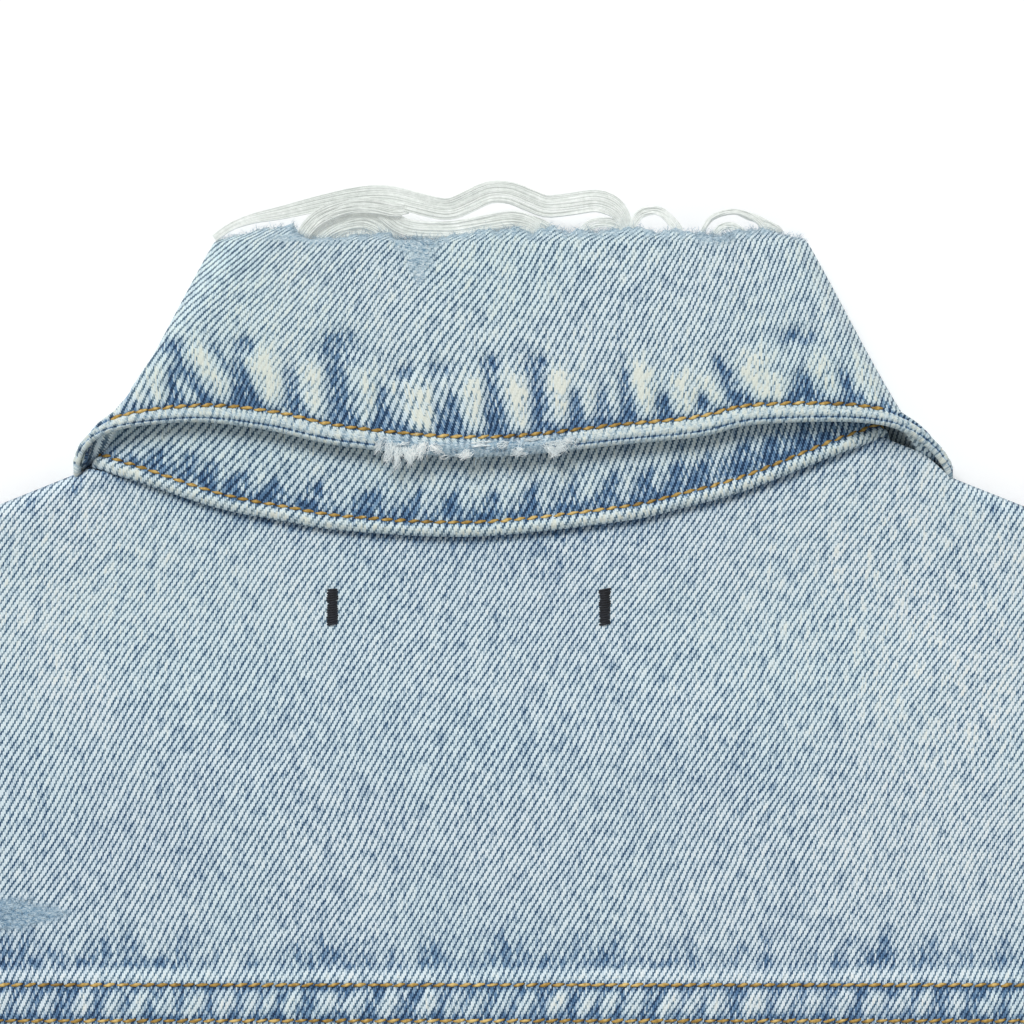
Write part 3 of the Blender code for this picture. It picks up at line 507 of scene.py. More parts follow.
goldThread = spun("gold_thread", ((0.22, "#3b2c10"), (0.46, "#b28d3e"), (0.64, "#e9ca80")), 0.5, 0.2)
darkThread = spun("dark_thread", ((0.3, "#0d0f14"), (0.6, "#1b1f29"), (0.8, "#3a4150")), 0.6, 0.2)
# the loose weft and the fluff glow a little: painted light
weftYarn = spun("weft_yarn", ((0.3, "#c6cdc8"), (0.5, "#d6dcd7"), (0.7, "#e8ece9")), 0.7, 0.3, 0.17)
blueFluff = spun("blue_fluff", ((0.3, "#7e9db4"), (0.5, "#a6bfce"), (0.7, "#d3e1e8")), 0.85, 0.2)
fluffYarn = spun("fluff", ((0.3, "#ccd9dd"), (0.5, "#e8f0f0"), (0.7, "#fbfdfb")), 0.85, 0.3, 0.15)


def agedMetal(name):
    material, shader, wire = newMaterial(name, Metallic=0.95)
    coords = wire.node("ShaderNodeTexCoord", out=3)
    patina = wire.node("ShaderNodeTexNoise", None, {"Vector": coords, "Scale": 420.0, "Detail": 4.0})
    feed(shader, "Base Color", patina.ramp(stops((0.3, "#4a3a26"), (0.55, "#8c7048"), (0.75, "#b89a6a"))))
    feed(shader, "Roughness", patina.between(0.3, 0.75, 0.55, 0.3))
    return material


buttonMetal = agedMetal("aged_brass")
print("materials made")


# objects and pieces of cloth
def linked(name, data):
    obj = bpy.data.objects.new(name, data)
    bpy.context.scene.collection.objects.link(obj)
    return obj


def framed(obj, node=None):
    if node:
        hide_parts(node)
    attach(obj, "root")


def gridNormals(p):
    du, dv = np.gradient(p, axis=1), np.gradient(p, axis=0)
    n = np.cross(du, dv)
    return n / np.maximum(np.linalg.norm(n, axis=-1, keepdims=True), 1e-9)


def addValues(mesh, key, values):
    kind, field = ("FLOAT_VECTOR", "vector") if values.ndim == 2 else ("FLOAT", "value")
    mesh.attributes.new(key, kind, "POINT").data.foreach_set(field, values.reshape(-1).astype(np.float32))


def meshObject(name, verts, faces, material, loopUv=None, attributes=None):
    mesh = bpy.data.meshes.new(name)
    mesh.from_pydata((verts * mm).tolist(), [], faces.tolist())
    if loopUv is not None:
        spread = loopUv[faces.reshape(-1)] * mm
        mesh.uv_layers.new(name="weave").data.foreach_set("uv", spread.reshape(-1).astype(np.float32))
    for key, values in (attributes or {}).items():
        addValues(mesh, key, values.reshape(-1))
    mesh.shade_smooth()
    mesh.materials.append(material)
    return linked(name, mesh)


def cloth(node, points, weave, fade, worn, material, wall, flat, faceDown=False, slot="denim",
          closed=False):
    rows, cols = points.shape[:2]
    verts = points.reshape(-1, 3) + (0, yShift, 0)
    k = np.arange(rows * cols).reshape(rows, cols)
    if closed:
        k = np.concatenate([k, k[:, :1]], 1)
    quads = np.stack([k[:-1, :-1], k[:-1, 1:], k[1:, 1:], k[1:, :-1]], -1).reshape(-1, 4)
    quads = quads[:, ::-1] if faceDown else quads
    obj = meshObject(node + "_cloth", verts, quads, material, weave.reshape(-1, 2),
                     {"fade": fade, "worn": worn})
    thick = obj.modifiers.new("wall", "SOLIDIFY")
    thick.thickness, thick.offset = wall * mm, -1
    framed(obj, node)
    width, length, area = flat
    width * mm
    length * mm
    area * mm * mm


def cutSize(points):
    # width, length and area of a flat cut, from its grid of points in plan
    edge = np.concatenate([points[0, :-1], points[:-1, -1], points[-1, :0:-1], points[:0:-1, 0]])[:, :2]
    x, y = edge.T
    area = 0.5 * abs(np.sum(x * np.roll(y, -1) - y * np.roll(x, -1)))
    turns = [(math.cos(a), math.sin(a)) for a in np.radians(range(-60, 61, 2))]
    boxes = [(np.ptp(x * c + y * s), np.ptp(y * c - x * s)) for c, s in turns]
    width, length = min(boxes, key=lambda box: box[0] * box[1])
    return width + 0.1, length + 0.1, area


stitching = {}  # group name to its stitch rows, each (points, outward)


def sampled(grid, i, j):
    rows, cols = grid.shape[:2]
    i, j = np.clip(i, 0, cols - 1.001), np.clip(j, 0, rows - 1.001)
    a, b = i.astype(int), j.astype(int)
    f, g = (i - a)[:, None], (j - b)[:, None]
    low = grid[b, a] * (1 - f) + grid[b, a + 1] * f
    high = grid[b + 1, a] * (1 - f) + grid[b + 1, a + 1] * f
    return low * (1 - g) + high * g


def stitchOn(group, points, us, vs, u, v, lift=0.12, facing=1):
    # a stitch row along u, v of a piece
    u, v = np.broadcast_arrays(np.asarray(u, float), np.asarray(v, float))
    i, j = np.interp(u, us, np.arange(len(us))), np.interp(v, vs, np.arange(len(vs)))
    normals = gridNormals(points) * facing
    p, n = sampled(points, i, j), sampled(normals, i, j)
    stitching.setdefault(group, []).append((p + n * lift, n))


along = np.linspace(0.004, 0.996, 260)

# back yoke
yoke = {"foot": -108.4, "rows": (-99.0, -106.9), "sideRows": (2.0, 8.5), "lift": 0.9,
        "leftCorner": (-93.5, 14.6), "rightCorner": (96.5, 12.9)}
neckEdge = (yoke["leftCorner"], (-84.0, 13.0), (-62.0, 9.4), (-34.0, 5.0), (-8.0, 3.7), (22.0, 6.5),
            (48.0, 11.5), (66.0, 17.3), (75.0, 21.2), (81.4, 21.5), (85.0, 20.2), (91.0, 17.6),
            yoke["rightCorner"])
bandEdge = np.array([(60, 470), (90, 467), (105, 468.5), (117, 473), (147, 484), (200, 503), (255, 518),
                     (300, 524), (360, 531), (410, 534), (460, 536), (509, 535), (559, 531), (620, 521),
                     (721, 498), (770, 482), (818, 465), (856, 448), (882, 439), (920, 436)])
bandOvals = (2, 24, 47, 82, 113, 139, 166, 193, 225, 250, 269, 292, 326, 356, 390, 428, 454, 477, 503)
yokeWorn = ((6, 914, 40, 17), (38, 914, 30, 9))
# paler wear: amount, middle x and y, half width and height
shoulderWear = ((0.12, 100, -4, 50, 44), (0.17, 96, -34, 62, 66), (0.2, -98, -8, 46, 34))


def yokeCut():
    tipX, tipY = jacket["shoulderTip"]
    shares = 6 / 28, 16 / 28
    half = 221.2
    top = chain((shares[0], line((-tipX, tipY), neckEdge[0])), (shares[1], spline(neckEdge)),
                (shares[0], line(neckEdge[-1], (tipX, tipY))))
    sides = [line((s * half, yoke["foot"]), (s * tipX, tipY)) for s in (-1, 1)]
    return patch(line((-half, yoke["foot"]), (half, yoke["foot"])), top, *sides)


def makeYoke():
    cut = yokeCut()
    us = np.concatenate([np.linspace(0, 0.19, 44)[:-1], np.linspace(0.19, 0.81, 236),
                         np.linspace(0.81, 1, 44)[1:]])
    vs = np.concatenate([np.linspace(0, 0.3, 35)[:-1], np.linspace(0.3, 0.86, 32),
                         np.linspace(0.86, 1, 17)[1:]])
    u, v = np.meshgrid(us, vs)
    xy = cut(u, v)
    x, y = xy[..., 0], xy[..., 1]
    z = backTop(x, y)
    onShoulder = smooth((6 / 28 + 0.004 - np.minimum(u, 1 - u)) / 0.008)
    down = turnedDown(z, frontRise(x, y), apart(xy, cut(u, np.ones_like(v))))
    z = z + (down - z) * onShoulder
    # the lapped band over the panels below, with its two rows
    above = y - yoke["foot"]
    draw = np.random.default_rng(11)
    middles = [(px - pixel["midX"]) * pixel["size"] for px in bandOvals]
    while middles[-1] < 225:
        middles.append(middles[-1] + draw.uniform(4.8, 8.2))
    while middles[0] > -225:
        middles.insert(0, middles[0] - draw.uniform(4.8, 8.2))
    pale = np.zeros_like(x)
    for k, middle in enumerate(middles):
        before = middle - middles[k - 1] if k else 6.0
        after = middles[k + 1] - middle if k + 1 < len(middles) else 6.0
        room = min(before, after)
        half, lean = room * draw.uniform(0.34, 0.42), draw.uniform(0.25, 0.5)
        oval = ((x - middle - lean * (above - 5.4)) / half) ** 2 + ((above - 5.4) / 3.5) ** 2
        pale += draw.uniform(0.75, 1.0) * np.exp(-(oval**1.6))
    ovals = 1 - np.clip(pale, 0, 1)
    inBand = smooth((9.6 - above) / 0.8) * smooth((above - 1.4) / 0.6)
    flameRow = puckerRow(12, 460, (3.4, 8.5), (4.0, 14.0), (2.2, 4.8), (-0.5, 0.6))
    flames = puckerAt(flameRow, x + 226, above - 12.2) * smooth((above - 11.8) / 2.4)
    calmRow = bell(above - 11.2, 1.2)
    grooves = sum(bell(y - row, 0.6) for row in yoke["rows"])
    z += yoke["lift"] * smooth((12.5 - above) / 2.0) + inBand * (0.25 - 0.55 * ovals)
    z -= 0.35 * grooves + 0.35 * flames
    z -= 0.9 * smooth((0.8 - above) / 0.8)
    # along both stitch rows the colour is darker: painted shade in the stitch grooves, with the less rubbed
    # dye there
    fade = inBand * (0.5 - 1.35 * ovals) - 0.8 * flames + 0.25 * calmRow - 1.0 * grooves
    # broad lighter wear on both shoulders
    for amount, midX, midY, halfX, halfY in shoulderWear:
        fade += amount * smooth((np.hypot((x - midX) / halfX, (y - midY) / halfY) - 1.5) / -1.2)
    # painted shade under the edge of the collar band, with some unfaded dye close under it
    px, py = toPhoto(x, y)
    below = np.maximum((py - np.interp(px, bandEdge[:, 0], bandEdge[:, 1])) * pixel["size"], 0)
    shade = puckerAt(puckerRow(13, 220, (3.0, 7.0), (4.0, 10.0), (1.5, 3.0), (-0.6, 0.6)), x + 110, below)
    fade -= (0.44 * bell(below, 1.6) + 0.22 * shade + 0.08 * np.exp(-below / 9)) * (np.abs(x) < 100)
    # shoulder and armhole seams
    lapX = sideRoom(x, y)
    sideFade, sideRise = seamSide(np.clip(lapX, 0, 99), y + 120, 14, felled=False)
    fade += sideFade * (lapX < 40)
    z += sideRise * smooth((40 - lapX) / 10)
    toSeam = apart(xy, cut(u, np.ones_like(v)))
    shoulderFade, shoulderRise = seamSide(toSeam, np.abs(x), 15, felled=False)
    fade += shoulderFade * onShoulder
    z += 0.5 * shoulderRise * onShoulder
    points = np.stack([x, y, z], -1)
    worn = spots(yokeWorn, x, y)
    lay = wavy(x, y)
    lay[..., 0] -= 0.14 * softRamp(y + 30, 20) + 0.12 * softRamp(y + 12, 20) * smooth((-70 - x) / 30)
    lay[..., 0] -= 0.0042 * x * np.sin(0.143 * (y + 58)) * smooth((-42 - y) / 12)
    lay[..., 0] += 0.1 * softRamp(np.minimum(x, 115) - 55, 20) * smooth((-10 - y) / 90)
    cloth("back_yoke", points, lay, fade, worn, bodyDenim, jacket["wall"], cutSize(points))
    for row in yoke["rows"]:
        stitchOn("neck", points, us, vs, np.linspace(0.003, 0.997, 700), rowAt(points, us, vs, row))
    for side in (0.0, 1.0):
        for inset in yoke["sideRows"]:
            stitchOn("back", points, us, vs, abs(side - inset / 443), np.linspace(0.02, 0.97, 60))
    return points


def rowAt(points, us, vs, y):
    # v at which each column of a piece reaches that y
    u = np.linspace(0.003, 0.997, 700)
    columns = np.array([np.interp(y, points[:, k, 1], vs) for k in range(points.shape[1])])
    return np.interp(u, us, columns)


yokePoints = makeYoke()
print("yoke made")

# collar
collar = {
    "lip": 3.4, "standFront": 2.7, "standBack": 11.5, "foldBack": 14.5, "edgeBack": 16.9, "crown": 1.2,
    "standShort": 2.6, "leafStitch": 4.4, "standStitch": 3.2, "leafWall": 1.5, "standWall": 1.5,
    "leafFlat": (460.0, 75.0), "standFlat": (430.0, 62.0),
}
# turn, neck x, y, fold x, y, edge x, y
collarSections = (
    (1.00, -6.0, -66.0, -9.0, -30.0, -48.0, -92.0), (1.00, -52.0, -46.0, -34.0, 10.0, -76.0, -46.0),
    (1.00, -80.0, -12.0, -52.0, 42.0, -90.0, -14.0), (0.95, -88.5, 6.5, -60.5, 58.0, -95.0, 7.5),
    (0.50, -93.0, 14.6, -66.8, 64.2, -96.8, 14.2), (0.05, -86.0, 13.0, -60.0, 64.8, -90.5, 22.0),
    (0.00, -66.0, 6.3, -45.0, 64.8, -71.7, 24.8), (0.00, -51.0, 3.2, -33.5, 64.8, -55.0, 23.3),
    (0.00, -36.0, 0.9, -22.0, 64.6, -36.0, 19.4), (0.00, -8.0, -0.3, 0.0, 64.4, -6.0, 17.2),
    (0.00, 24.0, 3.0, 22.0, 64.6, 26.0, 20.1), (0.00, 38.0, 6.1, 33.5, 64.8, 41.0, 21.6),
    (0.00, 52.0, 10.0, 45.0, 64.8, 56.0, 24.5), (0.05, 75.5, 19.2, 59.6, 65.0, 84.0, 23.8),
    (0.50, 83.4, 20.6, 66.2, 64.4, 97.0, 13.8), (0.95, 80.5, 8.0, 60.5, 58.0, 95.0, 7.0),
    (1.00, 78.0, -12.0, 52.0, 42.0, 90.0, -14.0), (1.00, 52.0, -46.0, 34.0, 10.0, 76.0, -46.0),
    (1.00, 6.0, -66.0, 9.0, -30.0, 48.0, -92.0),
)
# the torn top of the fold, in photograph pixels
tornEdge = np.array([(205, 240), (215, 232), (228, 227), (245, 225), (262, 223), (280, 220), (287, 225),
                     (299, 233), (312, 238), (327, 237), (342, 235), (358, 233), (371, 231), (384, 231),
                     (392, 237), (400, 239.5), (413, 237), (432, 238), (447, 235.5), (464, 231),
                     (485, 228.5), (506, 227), (518, 226.5), (531, 231), (544, 228), (554, 225), (569, 231),
                     (584, 229), (605, 230), (619, 228), (630, 224.5), (645, 228), (662, 230), (685, 228),
                     (699, 231), (712, 234), (729, 231), (752, 228), (765, 225), (782, 226), (794, 229),
                     (805, 235)])
leafRow = np.array([(90, 424), (122, 414), (147, 406), (175, 402), (213, 405), (249, 407), (290, 414),
                    (324, 422), (358, 429), (404, 434), (436, 437), (460, 435), (509, 432), (559, 429),
                    (620, 425), (685, 419), (721, 414), (757, 405), (809, 397), (862, 400), (892, 408),
                    (930, 420)])
standRow = np.array([(80, 460), (102, 460), (131, 465), (160, 474), (194, 487), (255, 502), (300, 508),
                     (360, 514), (393, 517), (460, 521), (509, 520), (559, 514), (620, 503), (673, 492),
                     (709, 482), (745, 470), (783, 459), (828, 441), (868, 426)])
# x at the stitching, x and y of the tip, half width, strength
leafDark = (
    (131, 128, 384, 12, 0.8), (150, 150, 378, 8, 0.5), (176, 172, 360, 12, 0.9), (212, 162, 332, 11, 0.8),
    (246, 236, 352, 17, 1.0), (266, 188, 316, 6, 0.6), (294, 290, 352, 15, 0.9), (346, 326, 336, 20, 0.95),
    (386, 380, 378, 16, 0.9), (406, 398, 360, 9, 0.5), (440, 434, 364, 9, 0.45), (455, 450, 388, 17, 0.95),
    (497, 488, 356, 16, 1.0), (544, 532, 358, 14, 0.9), (577, 574, 386, 14, 0.9), (604, 600, 374, 13, 0.9),
    (630, 620, 348, 12, 0.95), (664, 662, 386, 16, 0.95), (704, 700, 388, 14, 0.9),
    (744, 708, 342, 16, 0.95), (804, 798, 366, 22, 0.95), (852, 838, 360, 16, 0.75),
    (886, 880, 390, 10, 0.6),
)
leafPatches = ((336, 348, 22, 18), (797, 336, 18, 9), (404, 374, 10, 9), (440, 370, 11, 9),
               (534, 364, 12, 8), (490, 364, 10, 9), (176, 346, 16, 8), (244, 346, 12, 10))
leafPale = (
    (160, 148, 360, 13, 0.6), (232, 184, 332, 11, 0.9), (284, 252, 338, 15, 0.8), (330, 310, 356, 15, 0.65),
    (378, 366, 366, 11, 0.8), (412, 398, 372, 12, 0.95), (434, 425, 376, 10, 0.95),
    (484, 472, 370, 13, 0.95), (522, 513, 366, 14, 0.9), (566, 555, 358, 13, 1.0), (590, 588, 380, 7, 0.5),
    (652, 634, 352, 14, 1.0), (690, 677, 362, 13, 0.85), (722, 706, 368, 11, 0.6), (765, 745, 350, 18, 1.0),
    (830, 814, 352, 14, 0.75), (872, 858, 350, 15, 0.6),
)
standDark = (
    (150, 172, 436, 14, 0.8), (178, 196, 447, 12, 0.9), (202, 216, 454, 13, 0.9), (230, 248, 464, 14, 1.0),
    (266, 284, 470, 14, 0.9), (306, 324, 476, 16, 1.0), (362, 382, 480, 18, 1.0), (404, 422, 486, 13, 0.8),
    (442, 460, 482, 14, 0.9), (482, 500, 486, 13, 0.9), (518, 538, 480, 14, 0.9), (558, 582, 468, 15, 0.8),
    (600, 618, 470, 14, 0.9), (638, 654, 462, 12, 0.8), (668, 684, 454, 12, 0.9), (694, 710, 450, 12, 0.9),
    (732, 748, 436, 14, 1.0), (764, 780, 424, 12, 0.9), (796, 808, 420, 12, 0.8), (824, 834, 416, 10, 0.7),
)
leafWorn = ((419, 247, 24, 11), (420, 262, 14, 14), (420, 276, 7, 10), (714, 238, 22, 8), (300, 238, 40, 5))
edgeWorn = ((400, 446, 18, 14), (455, 450, 60, 8), (520, 445, 45, 9), (560, 440, 16, 8))


def collarLines(t):
    table = spline(collarSections)(t)
    turn = np.clip(table[..., 0], 0, 1)

    def lifted(k, back, front):
        return np.concatenate([table[..., k : k + 2], (back + (front - back) * turn)[..., None]], -1)

    neck = lifted(1, collar["standBack"], collar["standFront"])
    return turn, neck, lifted(3, collar["foldBack"], 0.0), lifted(5, collar["edgeBack"], 0.0)


def evenColumns(start, end, count):
    # places along the collar at even distances along its edge
    t = np.linspace(start, end, 2000)
    edge = collarLines(t)[3]
    run = runLength(edge)
    return np.interp(np.linspace(0, run[-1], count), run, t)


collarColumns = np.concatenate([np.linspace(0, 0.195, 40)[:-1], evenColumns(0.195, 0.805, 380),
                                np.linspace(0.805, 1, 40)[1:]])


def unit(a):
    return a / np.linalg.norm(a, axis=-1, keepdims=True)


def foldFrame(t):
    fold, edge = collarLines(t)[2:]
    before, after = (collarLines(np.clip(t + step, 0, 1))[2] for step in (-0.004, 0.004))
    up = unit(fold - edge)
    return up, unit(np.cross(after - before, up))


def drawnIn(w):
    # 0 at first, then nearly w
    w = np.maximum(w, 0)
    return w * w / (w + 20)


def fanned(x, y, base=-3.0):
    # the leaf is cut on a curve, so its twill turns a little towards both ends
    turn = np.radians(base + 0.155 * np.clip(x, -95, 95))
    return np.stack([x * np.cos(turn) + (y - 45) * np.sin(turn),
                     (y - 45) * np.cos(turn) - x * np.sin(turn)], -1)


def makeLeaf():
    t = collarColumns
    turn, _, fold, edge = collarLines(t)
    up, out = foldFrame(t)
    size = np.linalg.norm(fold - edge, axis=-1)
    close = np.array([0.0, 0.12, 0.3, 0.55, 0.85, 1.15, 1.45, 1.9, 2.5, 3.1, 3.6, 4.0, 4.4, 4.8, 5.4, 6.2])
    far = np.linspace(0, 1, 41)[1:]
    rows = [np.full_like(t, d) for d in close] + [6.2 + (size - 6.2) * k for k in far]
    angles = np.radians([12, 25, 40, 55, 70, 85, 100, 115, 130, 145])
    flatRows = len(rows)
    away = np.array(rows + [size + collar["lip"] * a for a in angles])
    share = np.minimum(away / size, 1)[..., None]
    points = edge + (fold - edge) * share
    lip = np.maximum(away - size, 0) / collar["lip"]
    foldX, foldY = toPhoto(fold[:, 0], fold[:, 1])
    torn = (foldY - np.interp(foldX, tornEdge[:, 0], tornEdge[:, 1])) * pixel["size"]
    seenFold = smooth((0.6 - turn) / 0.5)
    reach = collar["lip"] + (np.clip(torn, 0.6, 6) - collar["lip"]) * seenFold
    points = points + up * (reach * np.sin(lip))[..., None]
    points = points - out * (collar["lip"] * (1 - np.cos(lip)))[..., None]
    s = share[..., 0]
    points[..., 2] += collar["crown"] * np.sin(np.pi * s) * (1 - turn) ** 2
    # at both ends the leaf draws in above its edge and the edge itself flares
    outward = unit(np.stack([up[:, 1], -up[:, 0], 0 * turn], -1)) * np.sign(t - 0.5)[:, None]
    drawn = -2.6 * smooth((s - 0.1) / 0.05) * (1 - 0.72 * smooth((s - 0.3) / 0.8))
    drawn = drawn + 0.8 * bell(s - 0.06, 0.05)
    points += outward * (drawn * smooth(turn / 0.3) * smooth((1.02 - turn) / 0.1))[..., None]
    x, y = points[..., 0], points[..., 1]
    seen = smooth((0.4 - turn) / 0.3)
    dark = strokes(leafDark, x, y, leafRow) * seen
    dark = np.maximum(dark, 0.7 * spots(leafPatches, x, y) * seen)
    pale = strokes(leafPale, x, y, leafRow, 0.4, 1.1) * seen * (1 - 0.7 * np.clip(dark, 0, 1))
    between = smooth((11 - away + collar["leafStitch"]) / 8) * (1 - np.clip(1.3 * dark, 0, 1)) * seen
    sharp = smooth((8 - away + collar["leafStitch"]) / 6)
    pale = np.maximum(pale, (0.6 + 0.35 * sharp) * between)
    arc = runLength(edge)
    alongEdge = np.broadcast_to(arc, away.shape)
    ripple = puckerAt(puckerRow(21, arc[-1], (1.5, 2.8), (30, 40), (0.45, 0.75), (-0.3, 0.3)), alongEdge,
                      away)
    hidden = puckerAt(puckerRow(22, arc[-1]), alongEdge, away - collar["leafStitch"]) * (1 - seen)
    row = collar["leafStitch"]
    band = smooth((row - away) / 0.7)
    rubbedEdge = spots(edgeWorn, x, y) * seen * smooth((row - 0.2 - away) / 0.8)
    seam = bell(away - 1.15, 0.24) * (1 - rubbedEdge)
    groove = bell(away - row, 0.55)
    rise = -rolledEdge(away, 1.2) + 0.55 * bell(away - 2.1, 0.9) - 0.5 * groove - 0.3 * seam
    rise = rise - band * 0.28 * ripple
    upper = smooth((away - row) / 1.5)
    rise += upper * (0.45 * pale - 0.8 * np.clip(dark, 0, 1) - 0.5 * hidden)
    ragged = 0.3 * np.sin(x * 0.9 + 1.0) + 0.22 * np.sin(x * 2.3) + 0.12 * np.sin(x * 4.9 + 0.6)
    points = points + out * rise[..., None] + up * (ragged * smooth((lip - 0.3) / 1.0) * seen)[..., None]
    px, py = toPhoto(x, y)
    belowTear = py - np.interp(px, tornEdge[:, 0], tornEdge[:, 1])
    uneven = 3.0 * np.sin(1.7 * x + 0.8) + 2.2 * np.sin(3.9 * x) + 1.5 * np.sin(7.3 * x + 2.0)
    worn = np.maximum(0.8 * spots(leafWorn, x, y), 0.85 * smooth((12 - belowTear + uneven) / 10)) * seen
    rolledOver = smooth(turn / 0.15) * smooth((0.9 - turn) / 0.2)
    wornBand = (0.48 + 0.28 * rubbedEdge) * np.maximum(seen, rolledOver) * smooth((row - 0.3 - away) / 0.8)
    worn = np.maximum(worn, wornBand) * (1 - 0.9 * seam)
    strip = bell(away - row - 1.1, 1.3) * seen
    fade = upper * (0.78 * pale - (0.92 + 0.25 * sharp) * dark - 0.8 * hidden)
    # the stitch groove is darkened with painted shade as well as the less rubbed dye there
    fade = fade - 0.35 * strip - 1.9 * seam - 1.15 * groove
    # the band below the stitching is paler: partly bleached wear, partly painted light that lifts its
    # turned-down, less lit face
    fade = fade + band * (0.66 - 0.6 * ripple) - 0.9 * rubbedEdge
    fade -= 0.1 * smooth((0.5 - away) / 0.4)
    area = bandArea(size + 2.5, 0.5 * (edge + fold))
    lay = 0.96 * fanned(x, y + collar["lip"] * lip)
    lay[..., 0] += 0.08 * drawnIn(x - 20) - 0.25 * drawnIn(-20 - x) - 0.17 * (y - 45) * smooth((-10 - x) / 45)
    # its twill steepens towards the stitching, most of all at the left end
    near = np.clip(y, 18, 66)
    low = near - 33
    lay[..., 0] += (0.25 * low - 0.008 * low * low - 1.85) * smooth((10 - x) / 25)
    lay[..., 0] -= 0.1 * (near - 45) * smooth((x - 5) / 30)
    lay[..., 0] -= 0.22 * softRamp(45 - near, 4) * smooth((-48 - x) / 18)
    lay[..., 0] += 0.3 * np.sin(0.13 * x + 0.1 * y) + 0.25 * np.sin(0.07 * x - 0.16 * y + 2) + 0.3 * dark
    cloth("collar_leaf", points, lay, fade, worn, collarDenim, collar["leafWall"],
          (*collar["leafFlat"], area), slot="collar_denim")
    normals = gridNormals(points)
    k = int(np.argmin(abs(close - row)))
    for run in (turn > 0.96) & (t < 0.5), turn < 0.035, (turn > 0.96) & (t > 0.5):
        stitching.setdefault("neck", []).append((points[k, run] + normals[k, run] * 0.2, normals[k, run]))
    return points, normals, flatRows


leafPoints, leafNormals, leafFlatRows = makeLeaf()


def makeStand():
    t = collarColumns
    turn, neck, fold, _ = collarLines(t)
    up, out = foldFrame(t)
    top = fold - out * 3.0 - up * collar["standShort"]
    size = np.linalg.norm(top - neck, axis=-1)
    close = np.array([0.0, 0.15, 0.4, 0.8, 1.3, 1.8, 2.3, 2.75, 3.2, 3.65, 4.2])
    # rows lie closer where the leaf leaves the stand bare
    far = np.concatenate([np.linspace(0, 0.38, 18)[1:], np.linspace(0.38, 1, 12)[1:]])
    rows = [np.full_like(t, d) for d in close] + [4.2 + (size - 4.2) * k for k in far]
    away = np.array(rows)
    points = neck + (top - neck) * (away / size)[..., None]
    x, y = points[..., 0], points[..., 1]
    seen = smooth((0.5 - turn) / 0.3)
    dark = strokes(standDark, x, y, standRow) * seen
    row = collar["standStitch"]
    band, upper = smooth((row - away) / 0.7), smooth((away - row) / 1.2)
    arc = runLength(neck)
    alongEdge = np.broadcast_to(arc, away.shape)
    ripple = puckerAt(puckerRow(31, arc[-1], (1.5, 2.6), (30, 40), (0.45, 0.7), (-0.3, 0.3)), alongEdge,
                      away)
    groove = bell(away - row, 0.5)
    rise = -rolledEdge(away, 1.1) + 0.5 * bell(away - 1.6, 0.9) - 0.5 * groove
    rise = rise - 0.55 * upper * np.clip(dark, 0, 1) - band * 0.2 * ripple
    points = points + out * rise[..., None]
    strip = bell(away - row - 1.0, 1.5) * seen
    # the stitch groove is darkened with painted shade as well as the less rubbed dye there
    fade = upper * (-0.06 - 0.95 * dark) - 0.3 * smooth((x - 20) / 60) * upper - 0.4 * strip - 1.0 * groove
    ticks = smooth((away - 1.4) / 1.2)
    fade += band * (0.34 - 1.1 * ripple * ticks) - 0.5 * bell(away, 0.35)
    # painted shade: the stand darkens where it turns under the leaf at both ends, inside the shadowed roll
    fade -= 1.2 * smooth((turn - 0.45) / 0.2)
    area = bandArea(size, 0.5 * (neck + top))
    cloth("collar_stand", points, fanned(x, y, 4.0), fade, 0 * fade, collarDenim, collar["standWall"],
          (*collar["standFlat"], area), slot="collar_denim")
    normals = gridNormals(points)
    k = int(np.argmin(abs(close - row)))
    stitching["neck"].append((points[k] + normals[k] * 0.15, normals[k]))


makeStand()
print("collar made")


# back panels
def makePanel(node, cut, sizes, height, seed, seams, rolls=(), wall=jacket["wall"], faceDown=False,
              below=None, weave=None, creases=(), grid=(1.6, 5.0)):
    # a panel laid at a height, with worn seams on the named edges and some edges turned down
    us, vs = graded(sizes[0], *grid), graded(sizes[1], *grid)
    u, v = np.meshgrid(us, vs)
    xy = cut(u, v)
    x, y = xy[..., 0], xy[..., 1]
    z = height(x, y) if weave is None else height(u, v)
    zero, one = np.zeros_like(u), np.ones_like(u)
    edges = {"left": (zero, v), "right": (one, v), "bottom": (u, zero), "top": (u, one)}
    fade, rise = np.zeros_like(x), np.zeros_like(x)
    for k, (edge, felled) in enumerate(seams):
        away = apart(xy, cut(*edges[edge]))
        run = v * sizes[1] if edge in ("left", "right") else u * sizes[0]
        f, h = seamSide(away, run, seed + 7 * k, felled)
        fade, rise = fade + f, rise + h
    # crease ridges paler and troughs darker: partly real wear on the ridges, partly painted shading that
    # shows the folds
    fade += 0.22 * foldHeight(x, y, creases)
    z = z + rise * (-1 if faceDown else 1)
    for edge, weight in rolls:
        away = apart(xy, cut(*edges[edge]))
        z = z + (turnedDown(z, 0 * x if below is None else below(x, y), away) - z) * weight(u, v)
    points = np.stack([x, y, z], -1)
    lay = wavy(x, y) if weave is None else weave(u, v)
    cloth(node, points, lay, fade, 0 * x, bodyDenim, wall, cutSize(points), faceDown)
    return points, us, vs


def whole(u, v):
    return np.ones_like(u)


felledRows = (1.8, 8.6)  # stitch rows beside a felled seam, from its edge
gap, waistFoot = jacket["seamGap"], jacket["waistY"] + jacket["seamGap"]


